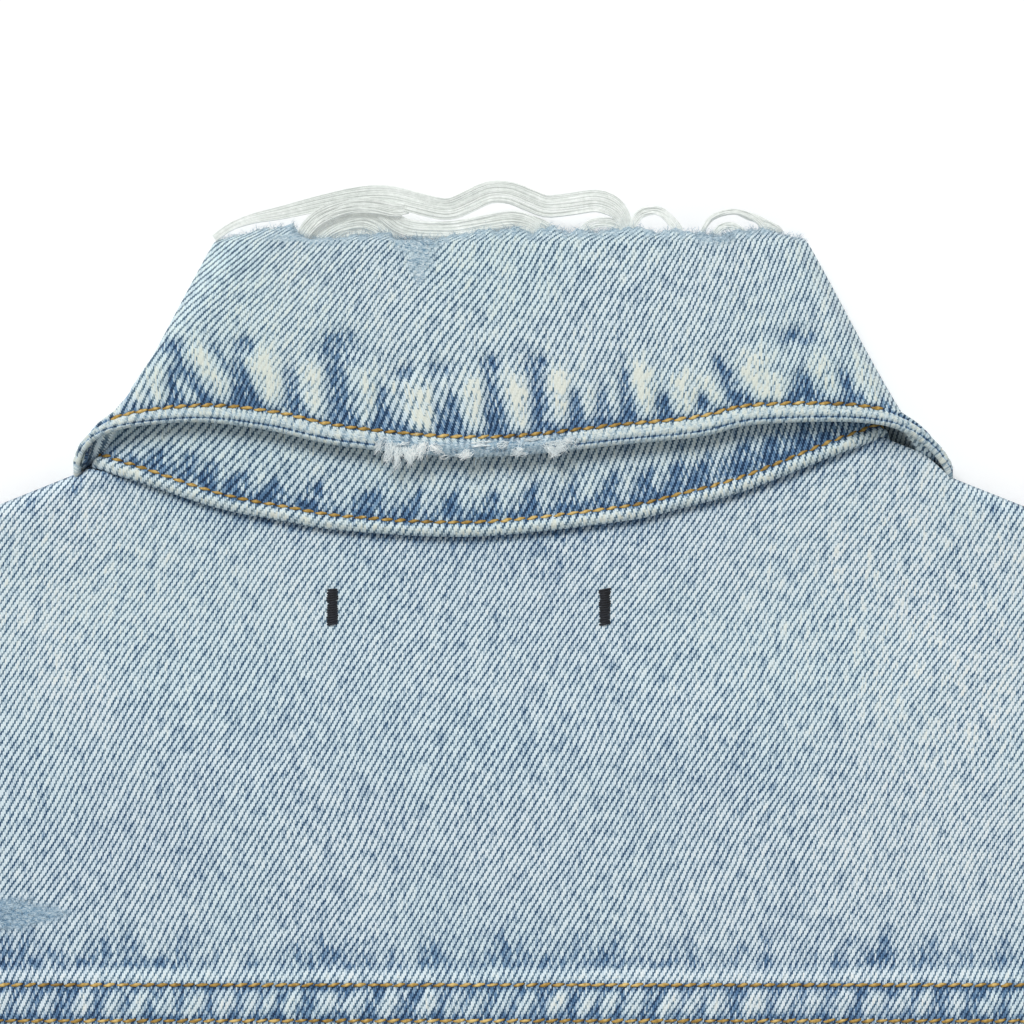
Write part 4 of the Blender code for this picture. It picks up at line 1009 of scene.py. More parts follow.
def makeBack():
    foot, top = jacket["backSeamFoot"], jacket["backSeamTop"]
    upper = jacket["yokeY"]
    centre = quad((-foot, waistFoot), (foot, waistFoot), (-top, upper), (top, upper))
    points, us, vs = makePanel("back_centre", centre, (240, 477), backTop, 101,
                               (("left", True), ("right", True), ("bottom", False)), creases=backCreases)
    for side in (0.0, 1.0):
        for inset in felledRows:
            across = np.interp(along, (0, 1), (2 * foot, 2 * top))
            stitchOn("back", points, us, vs, abs(side - inset / across), along * 0.975)
    armhole = spline(jacket["armhole"])
    share = 7 / 18
    outer = chain((1 - share, line((jacket["waistHalf"], waistFoot), jacket["underarm"])),
                  (share, turnedRound(armhole)))
    cut = patch(line((foot + gap, waistFoot), (jacket["waistHalf"], waistFoot)),
                line((top + gap, upper), jacket["armhole"][0]),
                line((foot + gap, waistFoot), (top + gap, upper)), outer)

    def belowArm(u, v):
        return smooth((1 - share + 0.02 - v) / 0.04)

    for side, own, edge, inner in (("right", cut, "right", "left"),
                                   ("left", mirrored(cut), "left", "right")):
        points, us, vs = makePanel(f"back_side_{side}", own, (140, 477), backTop, 120 + len(side),
                                   ((edge, True), (inner, False), ("bottom", False)), ((edge, belowArm),),
                                   below=frontRise, creases=backCreases)
        out = 1.0 if side == "right" else 0.0
        for inset in felledRows:
            stitchOn("back", points, us, vs, abs(out - inset / 120),
                     np.linspace(1 - share + 0.01, 0.97, 120))
        stitchOn("back", points, us, vs, abs(out - 7.5 / 160), np.linspace(0.01, 1 - share - 0.03, 120))


makeBack()
print("back made")

# front, under the back
# slants are the seams below each flap, as shares across at the top and at the foot
front = {"placketHalf": 20.0, "placketTop": -70.5, "flapNear": 55.0, "flapWidth": 125.0, "flapSide": 44.0,
         "flapPoint": 60.0, "flapGap": 0.5, "inset": 3.4,
         "slants": ((0.42, 0.30), (0.46, 0.34), (0.66, 0.74), (0.62, 0.70))}
frontNeck = np.array([(91.5, 13.0), (90.5, 2.0), (84.0, -14.0), (62.0, -42.0), (20.3, -62.0)])


def makeFront():
    inset, inner = front["inset"], front["placketHalf"] + gap
    tip = np.array(jacket["shoulderTip"]) - inset * np.array((1.0, 1.6))
    arm = np.array(jacket["armhole"]) - inset * np.array((1.5, 0.0))
    seamY = jacket["frontYokeY"]
    seamX = float(np.interp(-seamY, -arm[:, 1], arm[:, 0]))
    start = frontNeck[0] - (0.0, inset)
    top = chain((0.55, spline([*frontNeck[:0:-1], start])), (0.45, line(start, tip)))
    yokeHere = patch(line((inner, seamY), (seamX, seamY)), top, line((inner, seamY), frontNeck[-1]),
                     line((seamX, seamY), tip))
    upper = seamY - gap
    under = (jacket["underarm"][0] - 2 * inset, jacket["underarm"][1])
    arms = spline([under, *arm[-2:1:-1], (seamX, upper)])
    foot = jacket["waistHalf"] - inset
    outer = chain((0.7, line((foot, waistFoot), under)), (0.3, arms))
    panel = patch(line((inner, waistFoot), (foot, waistFoot)), line((inner, upper), (seamX, upper)),
                  line((inner, waistFoot), (inner, upper)), outer)
    near, width = front["flapNear"], front["flapWidth"]
    point = (near + width / 2, seamY - front["flapPoint"])
    low, far = seamY - front["flapSide"], near + width
    flap = patch(chain((0.5, line((near, low), point)), (0.5, line(point, (far, low)))),
                 line((near, seamY), (far, seamY)), line((near, low), (near, seamY)),
                 line((far, low), (far, seamY)))

    def flapHeight(x, y):
        return frontRise(x, y) - front["flapGap"] - jacket["pressed"]

    for side, turn in (("right", lambda cut: cut), ("left", mirrored)):
        points, us, vs = makePanel(f"front_yoke_{side}", turn(yokeHere), (200, 110), frontRise, 140,
                                   (("bottom", True),), faceDown=True)
        for v in (0.02, 0.08):
            stitchOn("front", points, us, vs, along, v, facing=-1)
        points, us, vs = makePanel(f"front_panel_{side}", turn(panel), (230, 444), frontRise, 150,
                                   (("bottom", False), ("top", False)), faceDown=True, grid=(1.6, 8.0))
        for a, b in front["slants"]:
            a, b = (a, b) if side == "right" else (1 - a, 1 - b)
            stitchOn("front", points, us, vs, np.linspace(b, a, 200), np.linspace(0.02, 0.97, 200),
                     facing=-1)
        points, us, vs = makePanel(f"pocket_flap_{side}", turn(flap), (125, 55), flapHeight, 160,
                                   (("bottom", False), ("left", False), ("right", False)), wall=1.4,
                                   faceDown=True)
        around = np.linspace(0.02, 0.98, 120)
        for d in (0.03, 0.12):
            stitchOn("front", points, us, vs, around, d * 0.9, facing=-1)
        stitchOn("front", points, us, vs, along, 0.93, facing=-1)

    def strip(half):
        top = front["placketTop"]
        return quad((-half, waistFoot), (half, waistFoot), (-half, top), (half, top))

    points, us, vs = makePanel("placket_buttonhole", strip(front["placketHalf"]), (40, 509), frontRise, 170,
                               (("left", False), ("right", False)), wall=1.5, faceDown=True)
    for u in (0.06, 0.26, 0.74, 0.94):
        stitchOn("front", points, us, vs, u, along, facing=-1)
    lift = jacket["pressed"] + gap
    makePanel("placket_button", strip(front["placketHalf"] - 1), (38, 509),
              lambda x, y: frontRise(x, y) + lift, 180, (("left", False),), wall=1.5, faceDown=True,
              grid=(4.0, 8.0))


makeFront()
print("front made")


# waistband
def makeWaistband():
    foot, waist = -jacket["length"], jacket["waistY"]
    hem, half = jacket["hemHalf"], jacket["waistHalf"]
    back = quad((-hem, foot), (hem, foot), (-half, waist), (half, waist))

    def height(x, y):
        edge = np.minimum(y - foot, waist - y)
        return frontRise(x, y) + 2 * jacket["doubled"] + jacket["layerGap"] - 0.8 * smooth((1.0 - edge) / 1.0)

    points, us, vs = makePanel("waistband_back", back, (500, 40), height, 190,
                               (("bottom", False), ("top", False)), (("left", whole), ("right", whole)),
                               wall=jacket["bandWall"], below=frontRise)
    for v in (0.06, 0.94):
        stitchOn("back", points, us, vs, np.linspace(0.012, 0.988, 500), v)
    inset = jacket["doubled"] + 1.2
    for side, start, end in (("left", inset - hem, front["placketHalf"]),
                             ("right", front["placketHalf"] + gap, hem - inset)):
        strip = quad((start, foot), (end, foot), (start, waist), (end, waist))
        points, us, vs = makePanel(f"waistband_front_{side}", strip, (end - start, 40), frontRise, 200, (),
                                   wall=jacket["bandWall"], faceDown=True, grid=(2.5, 6.0))
        for v in (0.06, 0.94):
            stitchOn("front", points, us, vs, along, v, lift=0.05, facing=-1)


makeWaistband()

# sleeves and cuffs
sleeve = {"angle": 52.0, "outer": 600.0, "end": 118.0, "seam": 0.62, "puff": 2.6, "bow": 9.0,
          "cuffDepth": 45.0, "cuffWidth": 114.0, "cuffHeight": 7.0, "cuffClear": 0.1}
# share across from the left, share along from the cuff, heading, half length, half width, height
sleeveFolds = {
    "right": ((0.55, 0.80, 112, 80, 15, 3.4), (0.45, 0.62, 70, 78, 14, 4.0), (0.60, 0.52, 28, 66, 13, 3.6),
              (0.40, 0.36, 84, 62, 12, 3.4), (0.58, 0.24, 18, 52, 12, 3.2), (0.45, 0.12, 66, 44, 11, 2.8)),
    "left": ((0.50, 0.78, 64, 82, 15, 3.4), (0.40, 0.60, 118, 76, 14, 4.0), (0.55, 0.49, 146, 70, 14, 3.8),
             (0.62, 0.33, 92, 60, 12, 3.4), (0.45, 0.22, 160, 52, 12, 3.0), (0.52, 0.10, 112, 44, 11, 2.8)),
}
sleeveCreases = {
    "right": ((0.70, 0.90, 130, 50, 5, 1.2), (0.35, 0.86, 96, 46, 5, 1.0), (0.30, 0.55, 50, 50, 5, 1.4),
              (0.72, 0.58, 86, 40, 4, 1.1), (0.52, 0.45, 100, 44, 4, 1.3), (0.30, 0.30, 30, 40, 4, 1.0),
              (0.66, 0.34, 120, 40, 4, 1.0), (0.35, 0.18, 100, 34, 4, 0.9), (0.66, 0.09, 40, 36, 4, 0.9),
              (0.50, 0.70, 20, 44, 5, -1.0), (0.48, 0.05, 130, 30, 4, 0.8)),
    "left": ((0.30, 0.90, 48, 50, 5, 1.2), (0.62, 0.84, 84, 46, 5, 1.0), (0.70, 0.56, 128, 50, 5, 1.4),
             (0.30, 0.62, 92, 40, 4, 1.1), (0.48, 0.42, 70, 44, 4, 1.3), (0.70, 0.28, 150, 40, 4, 1.0),
             (0.34, 0.38, 62, 40, 4, 1.0), (0.62, 0.16, 78, 34, 4, 0.9), (0.36, 0.08, 140, 36, 4, 0.9),
             (0.50, 0.68, 160, 44, 5, -1.0), (0.50, 0.04, 54, 30, 4, 0.8)),
}
sleeveWay = np.array((math.sin(math.radians(sleeve["angle"])), -math.cos(math.radians(sleeve["angle"]))))
sleeveSide = np.array((-sleeveWay[1], sleeveWay[0]))
cuffOuter = np.array(jacket["shoulderTip"]) + sleeve["outer"] * sleeveWay
cuffInner = cuffOuter - sleeve["end"] * sleeveSide


def bowed(start, end, bow):
    a, b = np.asarray(start, float), np.asarray(end, float)
    way = (b - a) / np.linalg.norm(b - a)
    off = np.array((-way[1], way[0])) * bow

    def at(t):
        t = np.asarray(t, float)[..., None]
        return a + (b - a) * t + off * np.sin(np.pi * t)

    return at


def sleeveCut(headGap, sideInset):
    head = chain((sleeve["seam"], offset(spline(jacket["armhole"][::-1]), headGap)),
                 (1 - sleeve["seam"], offset(line(jacket["armhole"][0], jacket["shoulderTip"]), headGap)))
    inset = sideInset * sleeveSide
    start, end = cuffInner + inset, cuffOuter - inset
    return patch(line(start, end), lambda u: head(u) + inset * (1 - 2 * np.asarray(u, float))[..., None],
                 bowed(start, head(0.0) + inset, -sleeve["bow"]),
                 bowed(end, head(1.0) - inset, -sleeve["bow"]))


def makeSleeve(side):
    own = sleeveCut(0.4, 0.0)
    cut = own if side == "right" else mirrored(own)
    creases = [(*cut(u, v), *rest[:3], 1.9 * rest[3]) for u, v, *rest in sleeveCreases[side]]
    folds = [(*cut(u, v), *rest[:3], 1.5 * rest[3]) for u, v, *rest in sleeveFolds[side]] + creases

    def heightOf(u, v):
        xy = cut(u, v)
        near = np.minimum(u, 1 - u)
        full = smooth((1 - v) / 0.12) * smooth(near / 0.16)
        edge = smooth((near - 0.03) / 0.12) * smooth((1 - v) / 0.08) * smooth(v / 0.04)
        z = 2 * jacket["cloth"] + jacket["layerGap"] + sleeve["puff"] * full
        z = z + edge * foldHeight(xy[..., 0], xy[..., 1], folds)
        for e in (0.0, 1.0):
            away = apart(xy, cut(np.full_like(u, e), v))
            z = z + (turnedDown(z, 0.0, away) - z) * smooth((1 - v) / 0.03)
        return z

    def weaveOf(u, v):
        return wavy((u - 0.5) * np.interp(v, (0, 1), (118, 175)), v * 600)

    split = sleeve["seam"]
    for strip, lo, hi, width in (("inner", 0.0, split, 95), ("outer", split + 0.0025, 1.0, 58)):
        a, b = (lo, hi) if side == "right" else (1 - hi, 1 - lo)

        def part(u, v, a=a, b=b):
            return cut(a + (b - a) * np.asarray(u, float), v)

        seamEdge = "right" if (strip == "inner") == (side == "right") else "left"
        seams = ((seamEdge, strip == "outer"), ("top", False), ("bottom", False))
        points, us, vs = makePanel(f"sleeve_back_{strip}_{side}", part, (width, 600),
                                   lambda u, v, a=a, b=b: heightOf(a + (b - a) * u, v),
                                   210 + len(side) + len(strip), seams,
                                   weave=lambda u, v, a=a, b=b: weaveOf(a + (b - a) * u, v),
                                   creases=creases)
        if strip == "outer":
            for inset in (1.6, 8.0):
                u = inset / 50 if seamEdge == "left" else 1 - inset / 50
                stitchOn("sleeves", points, us, vs, u, along)
    under = sleeveCut(3.0, front["inset"])
    under = under if side == "right" else mirrored(under)
    makePanel(f"sleeve_front_{side}", under, (140, 560), lambda x, y: 0 * x, 230, (), faceDown=True,
              grid=(5.0, 8.0))


def makeCuff(side):
    sign = 1 if side == "right" else -1
    middle = (cuffInner + cuffOuter) / 2 + 0.6 * sleeveWay
    width, height, depth = sleeve["cuffWidth"], sleeve["cuffHeight"], sleeve["cuffDepth"]
    r = height / 2
    flat = width / 2 - r
    ends = np.radians(np.linspace(-90, 90, 13))
    right = np.stack([flat + r * np.cos(ends), r + r * np.sin(ends)], -1)
    across = np.linspace(flat, -flat, 44)[1:-1]
    top = np.stack([across, np.full_like(across, height)], -1)
    bottom = np.stack([-top[:, 0], 0 * top[:, 1]], -1)
    ring = np.concatenate([right, top, [0, 2 * r] - right, bottom])
    vs = graded(depth, 0.9, 3.0, 6.0)
    down = vs * depth
    edge = np.minimum(down, depth - down)
    tuck = 0.7 * smooth((1.0 - edge) / 1.0) + 0.25 * bell(edge - 2.2, 0.5)
    arc = runLength(ring)
    run = np.broadcast_to(arc, (len(vs), len(arc)))
    f1, h1 = seamSide(np.broadcast_to(down[:, None], run.shape), run, 241, felled=False)
    f2, h2 = seamSide(np.broadcast_to(depth - down[:, None], run.shape), run, 242, felled=False)
    shrink = 1 - (tuck[:, None, None] - 0.4 * (h1 + h2)[..., None]) / r * 0.5
    centred = (ring - (0, r)) * np.concatenate([np.ones_like(shrink), np.minimum(shrink, 1)], -1) + (0, r)
    xy = middle + down[:, None, None] * sleeveWay + centred[..., :1] * sleeveSide
    points = np.concatenate([xy * (sign, 1), centred[..., 1:] + sleeve["cuffClear"]], -1)
    points = points if side == "right" else points[:, ::-1]
    lay = np.stack([run, np.broadcast_to(-down[:, None], run.shape)], -1)
    lay = lay if side == "right" else lay[:, ::-1]
    fade = (f1 + f2) if side == "right" else (f1 + f2)[:, ::-1]
    cloth(f"cuff_{side}", points, lay, fade, 0 * fade, bodyDenim, jacket["bandWall"],
          (2 * width + 8, depth + 0.1, (2 * width + 4) * depth), closed=True)
    us = np.arange(points.shape[1]) / (points.shape[1] - 1)
    for inset in (0.05, 0.95):
        stitchOn("sleeves", points, us, vs, np.linspace(0, 1, 300), inset, lift=0.15)


for side in ("right", "left"):
    makeSleeve(side)
    makeCuff(side)
print("sleeves made")


# Geometry Nodes trees for stitches, yarns and fluff
def newTree(name, **sockets):
    tree = bpy.data.node_groups.new(name, "GeometryNodeTree")
    tree.interface.new_socket("Geometry", in_out="OUTPUT", socket_type="NodeSocketGeometry")
    ids = {}
    for label, kind in {"Geometry": "Geometry", **sockets}.items():
        socket = tree.interface.new_socket(label, in_out="INPUT", socket_type=f"NodeSocket{kind}")
        ids[label] = socket.identifier
    given, result = tree.nodes.new("NodeGroupInput"), tree.nodes.new("NodeGroupOutput")
    wire = Wire(tree)
    return tree, ids, {label: Wire(tree, given.outputs[label]) for label in ids}, wire, result


def closeTree(wire, shape, material, result):
    solid = wire.node("GeometryNodeRealizeInstances", None, {"Geometry": shape})
    dressed = wire.node("GeometryNodeSetMaterial", None, {"Geometry": solid, "Material": material})
    wire.tree.links.new(dressed.socket, result.inputs[0])


def stitchTree():
    tree, ids, given, wire, result = newTree("top_stitch", Pitch="Float", Stitch="Object",
                                             Thread="Material", Seed="Int")
    path = wire.node("GeometryNodeMeshToCurve", None, {"Mesh": given["Geometry"]})
    spaced = wire.node("GeometryNodeResampleCurve", {"mode": "LENGTH"},
                       {"Curve": path, "Length": given["Pitch"]})
    outward = wire.node("GeometryNodeInputNamedAttribute", {"data_type": "FLOAT_VECTOR"},
                        {"Name": "outward"})
    tangent = wire.node("GeometryNodeInputTangent")
    upright = wire.node("FunctionNodeAlignRotationToVector", {"axis": "Z"}, {"Vector": outward})
    turned = wire.node("FunctionNodeAlignRotationToVector", {"axis": "X", "pivot_axis": "Z"},
                       {"Rotation": upright, "Vector": tangent})
    sway = wire.node("FunctionNodeRandomValue", {"data_type": "FLOAT_VECTOR"},
                     {0: (-0.05, -0.06, 0.10), 1: (0.05, 0.06, 0.28), "Seed": given["Seed"]})
    tilt = wire.node("FunctionNodeEulerToRotation", None, {"Euler": sway})
    aim = wire.node("FunctionNodeRotateRotation", {"rotation_space": "LOCAL"},
                    {"Rotation": turned, "Rotate By": tilt})
    size = wire.node("FunctionNodeRandomValue", {"data_type": "FLOAT_VECTOR"},
                     {0: (0.93, 0.88, 0.85), 1: (1.04, 1.1, 1.12), "Seed": given["Seed"]})
    shape = wire.node("GeometryNodeObjectInfo", {"transform_space": "ORIGINAL"},
                      {"Object": given["Stitch"]}, out="Geometry")
    placed = wire.node("GeometryNodeInstanceOnPoints", None,
                       {"Points": spaced, "Instance": shape, "Rotation": aim, "Scale": size})
    closeTree(wire, placed, given["Thread"], result)
    return tree, ids


def yarnTree():
    tree, ids, given, wire, result = newTree("loose_yarn", Radius="Float", Sides="Int", Yarn="Material")
    path = wire.node("GeometryNodeMeshToCurve", None, {"Mesh": given["Geometry"]})
    ring = wire.node("GeometryNodeCurvePrimitiveCircle", None,
                     {"Resolution": given["Sides"], "Radius": given["Radius"]})
    tube = wire.node("GeometryNodeCurveToMesh", None,
                     {"Curve": path, "Profile Curve": ring, "Fill Caps": True})
    closeTree(wire, wire.node("GeometryNodeSetShadeSmooth", None, {"Geometry": tube}), given["Yarn"],
              result)
    return tree, ids


def fluffTree():
    tree, ids, given, wire, result = newTree("fluff", Hair="Object", Yarn="Material")
    lean = wire.node("GeometryNodeInputNamedAttribute", {"data_type": "FLOAT_VECTOR"}, {"Name": "outward"})
    size = wire.node("GeometryNodeInputNamedAttribute", {"data_type": "FLOAT"}, {"Name": "size"})
    aim = wire.node("FunctionNodeAlignRotationToVector", {"axis": "Z"}, {"Vector": lean})
    shape = wire.node("GeometryNodeObjectInfo", {"transform_space": "ORIGINAL"}, {"Object": given["Hair"]},
                      out="Geometry")
    placed = wire.node("GeometryNodeInstanceOnPoints", None,
                       {"Points": given["Geometry"], "Instance": shape, "Rotation": aim, "Scale": size})
    closeTree(wire, placed, given["Yarn"], result)
    return tree, ids


trees = {"stitch": stitchTree(), "yarn": yarnTree(), "fluff": fluffTree()}


def pathMesh(name, lines, attributes=None):
    # polylines as a mesh of edges
    verts = np.concatenate(lines) + (0, yShift, 0)
    edges, first = [], 0
    for points in lines:
        edges += [(first + k, first + k + 1) for k in range(len(points) - 1)]
        first += len(points)
    mesh = bpy.data.meshes.new(name)
    mesh.from_pydata((verts * mm).tolist(), edges, [])
    for key, values in (attributes or {}).items():
        addValues(mesh, key, values)
    return linked(name, mesh)


def grown(guide, tree, values, node=None):
    # runs a tree on the guide and keeps the result as a plain mesh
    group, ids = trees[tree]
    modifier = guide.modifiers.new("tree", "NODES")
    modifier.node_group = group
    for label, value in values.items():
        modifier[ids[label]] = value
    graph = bpy.context.evaluated_depsgraph_get()
    mesh = bpy.data.meshes.new_from_object(guide.evaluated_get(graph))
    guide.modifiers.remove(modifier)
    name = guide.name
    bpy.data.objects.remove(guide)
    framed(linked(name, mesh), node)
    print(name, len(mesh.polygons), "faces")


def hiddenShape(name, verts, faces, tips=None):
    mesh = bpy.data.meshes.new(name)
    mesh.from_pydata((np.asarray(verts) * mm).tolist(), [], faces)
    if tips is not None:
        addValues(mesh, "tip", np.array(tips))
    mesh.shade_smooth()
    return bpy.data.objects.new(name, mesh)


def tubeFaces(rings, sides):
    faces = [[r * sides + k, r * sides + (k + 1) % sides, (r + 1) * sides + (k + 1) % sides,
              (r + 1) * sides + k] for r in range(rings - 1) for k in range(sides)]
    return faces + [list(range(sides))[::-1], [(rings - 1) * sides + k for k in range(sides)]]


stitch = {"pitch": 2.9, "length": 3.05, "radius": 0.365, "arch": 0.36, "twist": 2.0, "fine": (8, 6),
          "plain": (4, 4)}


def stitchShape(kind):
    # a plump two-ply stitch whose ends dip into the cloth
    rings, sides = stitch[kind]
    verts, tips = [], []
    for r in range(rings):
        f = r / (rings - 1)
        plump = math.sin(math.pi * (0.14 + 0.72 * f)) ** 0.6
        # tips: nearness to an end, used for the painted shade at the stitch ends
        tips += [abs(2 * f - 1) ** 3] * sides
        for k in range(sides):
            a = 2 * math.pi * k / sides
            size = stitch["radius"] * plump * (1 + 0.2 * math.cos(2 * a - stitch["twist"] * 2 * math.pi * f))
            arch = stitch["arch"] * (math.sin(math.pi * f) - 0.75)
            verts.append(((f - 0.5) * stitch["length"], size * math.cos(a),
                          size * math.sin(a) * 0.8 + arch))
    return hiddenShape(kind + "_stitch", verts, tubeFaces(rings, sides), tips)


def makeStitching():
    shapes = {kind: stitchShape(kind) for kind in ("fine", "plain")}
    for seed, (group, rows) in enumerate(stitching.items()):
        shape = shapes["fine" if group == "neck" else "plain"]
        guide = pathMesh(f"topstitch_{group}", [p for p, n in rows],
                         {"outward": np.concatenate([n for p, n in rows])})
        grown(guide, "stitch",
              {"Pitch": stitch["pitch"] * mm, "Stitch": shape, "Thread": goldThread, "Seed": seed})


makeStitching()

# the worn fold: bundles of weft yarn that have come out of the cloth, in photograph pixels
bundles = (
    {"path": ((214, 238), (232, 226), (255, 218), (280, 213), (320, 203.5), (350, 198), (371, 196),
              (392, 197), (413, 202), (438, 208), (452, 208), (467, 202), (489, 192), (510, 192.5),
              (527, 199), (545, 206), (560, 205.5), (576, 203.5), (596, 201), (612, 206), (622, 216),
              (628, 232)), "yarns": 44, "width": 21, "z": 12.0, "start": 0.3},
    {"path": ((300, 240), (308, 227), (322, 215), (340, 208), (358, 205), (376, 206), (394, 210),
              (408, 209)), "yarns": 26, "width": 14, "z": 12.6, "start": 0.9},
    {"path": ((362, 203), (378, 208), (390, 217), (402, 225), (420, 229), (453, 229), (485, 223),
              (512, 219), (531, 224), (540, 234)), "yarns": 30, "width": 16, "z": 11.4, "start": 0.9},
    {"path": ((312, 242), (328, 228), (346, 220), (364, 218), (382, 226), (396, 242)), "yarns": 28,
     "width": 20, "z": 10.8, "start": 0.9},
    {"path": ((330, 240), (345, 231), (362, 229), (378, 238)), "yarns": 12, "width": 12, "z": 10.4,
     "start": 0.9},
    {"path": ((578, 236), (590, 225), (604, 222), (618, 226), (624, 236)), "yarns": 12, "width": 9,
     "z": 11.0, "start": 0.9},
    {"path": ((630, 232), (639, 215), (651, 210.5), (662, 212.5), (675, 225), (681, 236)), "yarns": 18,
     "width": 9, "z": 11.6, "start": 0.7},
    {"path": ((700, 236), (711, 219), (729, 212), (745, 213.5), (758, 221), (768, 234)), "yarns": 10,
     "width": 5, "z": 11.8, "start": 0.7},
    {"path": ((738, 213), (752, 217), (766, 223), (782, 232)), "yarns": 9, "width": 8, "z": 11.4,
     "start": 0.4},
    {"path": ((712, 236), (722, 227), (734, 226), (748, 236)), "yarns": 10, "width": 7, "z": 10.8,
     "start": 0.9},
    {"path": ((486, 236), (505, 222), (525, 219), (545, 226), (556, 236)), "yarns": 12, "width": 9,
     "z": 10.6, "start": 0.9},
)
yarn = {"radius": 0.13, "sides": 4, "step": 1.7, "fewest": 24, "stray": 0.11, "more": 1.4}


def makeWeft():
    draw = np.random.default_rng(41)
    lines = []
    for bundle in bundles:
        route = spline(fromPhoto(bundle["path"]))
        length = runLength(route(np.linspace(0, 1, 60)))[-1]
        t = np.linspace(0, 1, max(yarn["fewest"], int(length / yarn["step"])))
        path = route(t)
        way = np.gradient(path, axis=0)
        side = unit(np.stack([-way[:, 1], way[:, 0]], -1))
        start = bundle["start"]
        waist = np.minimum(start + (1 - start) * smooth(t * 3.2), 0.6 + 0.4 * smooth((1 - t) * 8))
        count = int(bundle["yarns"] * yarn["more"])
        for k in range(count):
            share = (k + 0.5) / count - 0.5
            waves = 0
            for m in range(4):
                size = draw.normal(0, yarn["stray"] / (m + 1))
                waves = waves + size * np.sin((m + 1.5) * np.pi * t + draw.uniform(0, 6))
            shift = share * bundle["width"] * pixel["size"] * waist + waves * np.sin(np.pi * t) ** 0.5
            z = bundle["z"] + draw.uniform(-0.16, 0.16) * np.ones_like(t)
            z = z + 0.25 * np.sin(3 * np.pi * t + draw.uniform(0, 6))
            ends = np.sin(np.pi * np.clip(t * 6, 0, 0.5)) * np.sin(np.pi * np.clip((1 - t) * 6, 0, 0.5))
            z = z - 1.5 * (1 - ends)
            xy = path + side * shift[:, None]
            lines.append(np.column_stack([xy, z]))
    guide = pathMesh("loose_weft", lines)
    grown(guide, "yarn", {"Radius": yarn["radius"] * mm, "Sides": yarn["sides"], "Yarn": weftYarn},
          "collar_fray")


makeWeft()

# fluff along the torn fold, the rubbed collar edge and the rubbed spots
fluff = {"length": 1.4, "radius": 0.04, "rings": 4, "fold": 2600, "edge": 260, "spots": 420}


def hairShape():
    verts = []
    for r in range(fluff["rings"]):
        f = r / (fluff["rings"] - 1)
        size = fluff["radius"] * (1.1 - 0.8 * f)
        bend = 0.45 * f * f
        for a in (0.0, 2.1, 4.2):
            sideways = 0.15 * math.sin(3 * f) + size * math.sin(a)
            verts.append((bend + size * math.cos(a), sideways, f * fluff["length"]))
    return hiddenShape("hair_shape", verts, tubeFaces(fluff["rings"], 3))


def makeFluff():
    draw = np.random.default_rng(51)
    places, leans, sizes = [], [], []
    foldRow = leafPoints[leafFlatRows]
    columns = np.where((foldRow[:, 0] > -66) & (foldRow[:, 0] < 66) & (foldRow[:, 2] > 8))[0]

    def grow(row, column, spread, upward, size):
        place = leafPoints[row, column] + draw.normal(0, 0.25, 3) * (1, 1, 0.5)
        lean = leafNormals[row, column] * upward + draw.normal(0, spread, 3)
        places.append(place)
        leans.append(lean / np.linalg.norm(lean))
        sizes.append(size)

    for _ in range(fluff["fold"]):
        grow(leafFlatRows + draw.integers(1, 8), draw.choice(columns), 0.8, 0.6, draw.uniform(0.4, 1.2))
    onTop = leafPoints[..., 2] > 9
    worn = ((fluff["edge"], edgeWorn, 0.8, (0.6, 1.9)), (fluff["spots"], leafWorn[:4], 0.9, (0.5, 1.2)))
    for count, table, spread, size in worn:
        rows, cols = np.where((spots(table, leafPoints[..., 0], leafPoints[..., 1]) > 0.4) & onTop)
        for _ in range(count):
            k = draw.integers(len(rows))
            grow(rows[k], cols[k], spread, 0.6, draw.uniform(*size))
    rows, cols = np.where(spots(yokeWorn, yokePoints[..., 0], yokePoints[..., 1]) > 0.4)
    for _ in range(fluff["spots"]):
        k = draw.integers(len(rows))
        lean = np.array((0, 0, 0.5)) + draw.normal(0, 0.8, 3) * (1, 0.6, 0.3)
        places.append(yokePoints[rows[k], cols[k]] + draw.normal(0, 0.2, 3))
        leans.append(lean / np.linalg.norm(lean))
        sizes.append(draw.uniform(0.5, 1.3))
    values = {"outward": np.array(leans), "size": np.array(sizes)}
    guide = pathMesh("fluff", [np.array([p]) for p in places], values)
    grown(guide, "fluff", {"Hair": hairShape(), "Yarn": blueFluff})


makeFluff()

# tufts that hang from the rubbed edge: root, tip and spread in photograph pixels
tufts = {"places": ((384, 438, 376, 452, 5), (392, 444, 386, 462, 5), (398, 447, 396, 468, 5),
                    (406, 448, 412, 464, 6), (416, 447, 410, 462, 6), (424, 444, 420, 458, 5),
                    (432, 446, 442, 453, 4), (468, 452, 462, 458, 5), (520, 449, 514, 455, 4),
                    (548, 446, 556, 456, 5), (558, 444, 566, 450, 6), (566, 440, 577, 443, 5),
                    (562, 446, 552, 456, 4)), "hairs": 44, "steps": 9, "radius": 0.055,
         "slits": ((472, 490, 443), (473, 490, 447), (497, 508, 444), (498, 507, 447), (525, 540, 440),
                   (546, 562, 444.5), (440, 450, 457), (399, 409, 444), (516, 528, 455), (456, 468, 456)),
         "slitHairs": 6}


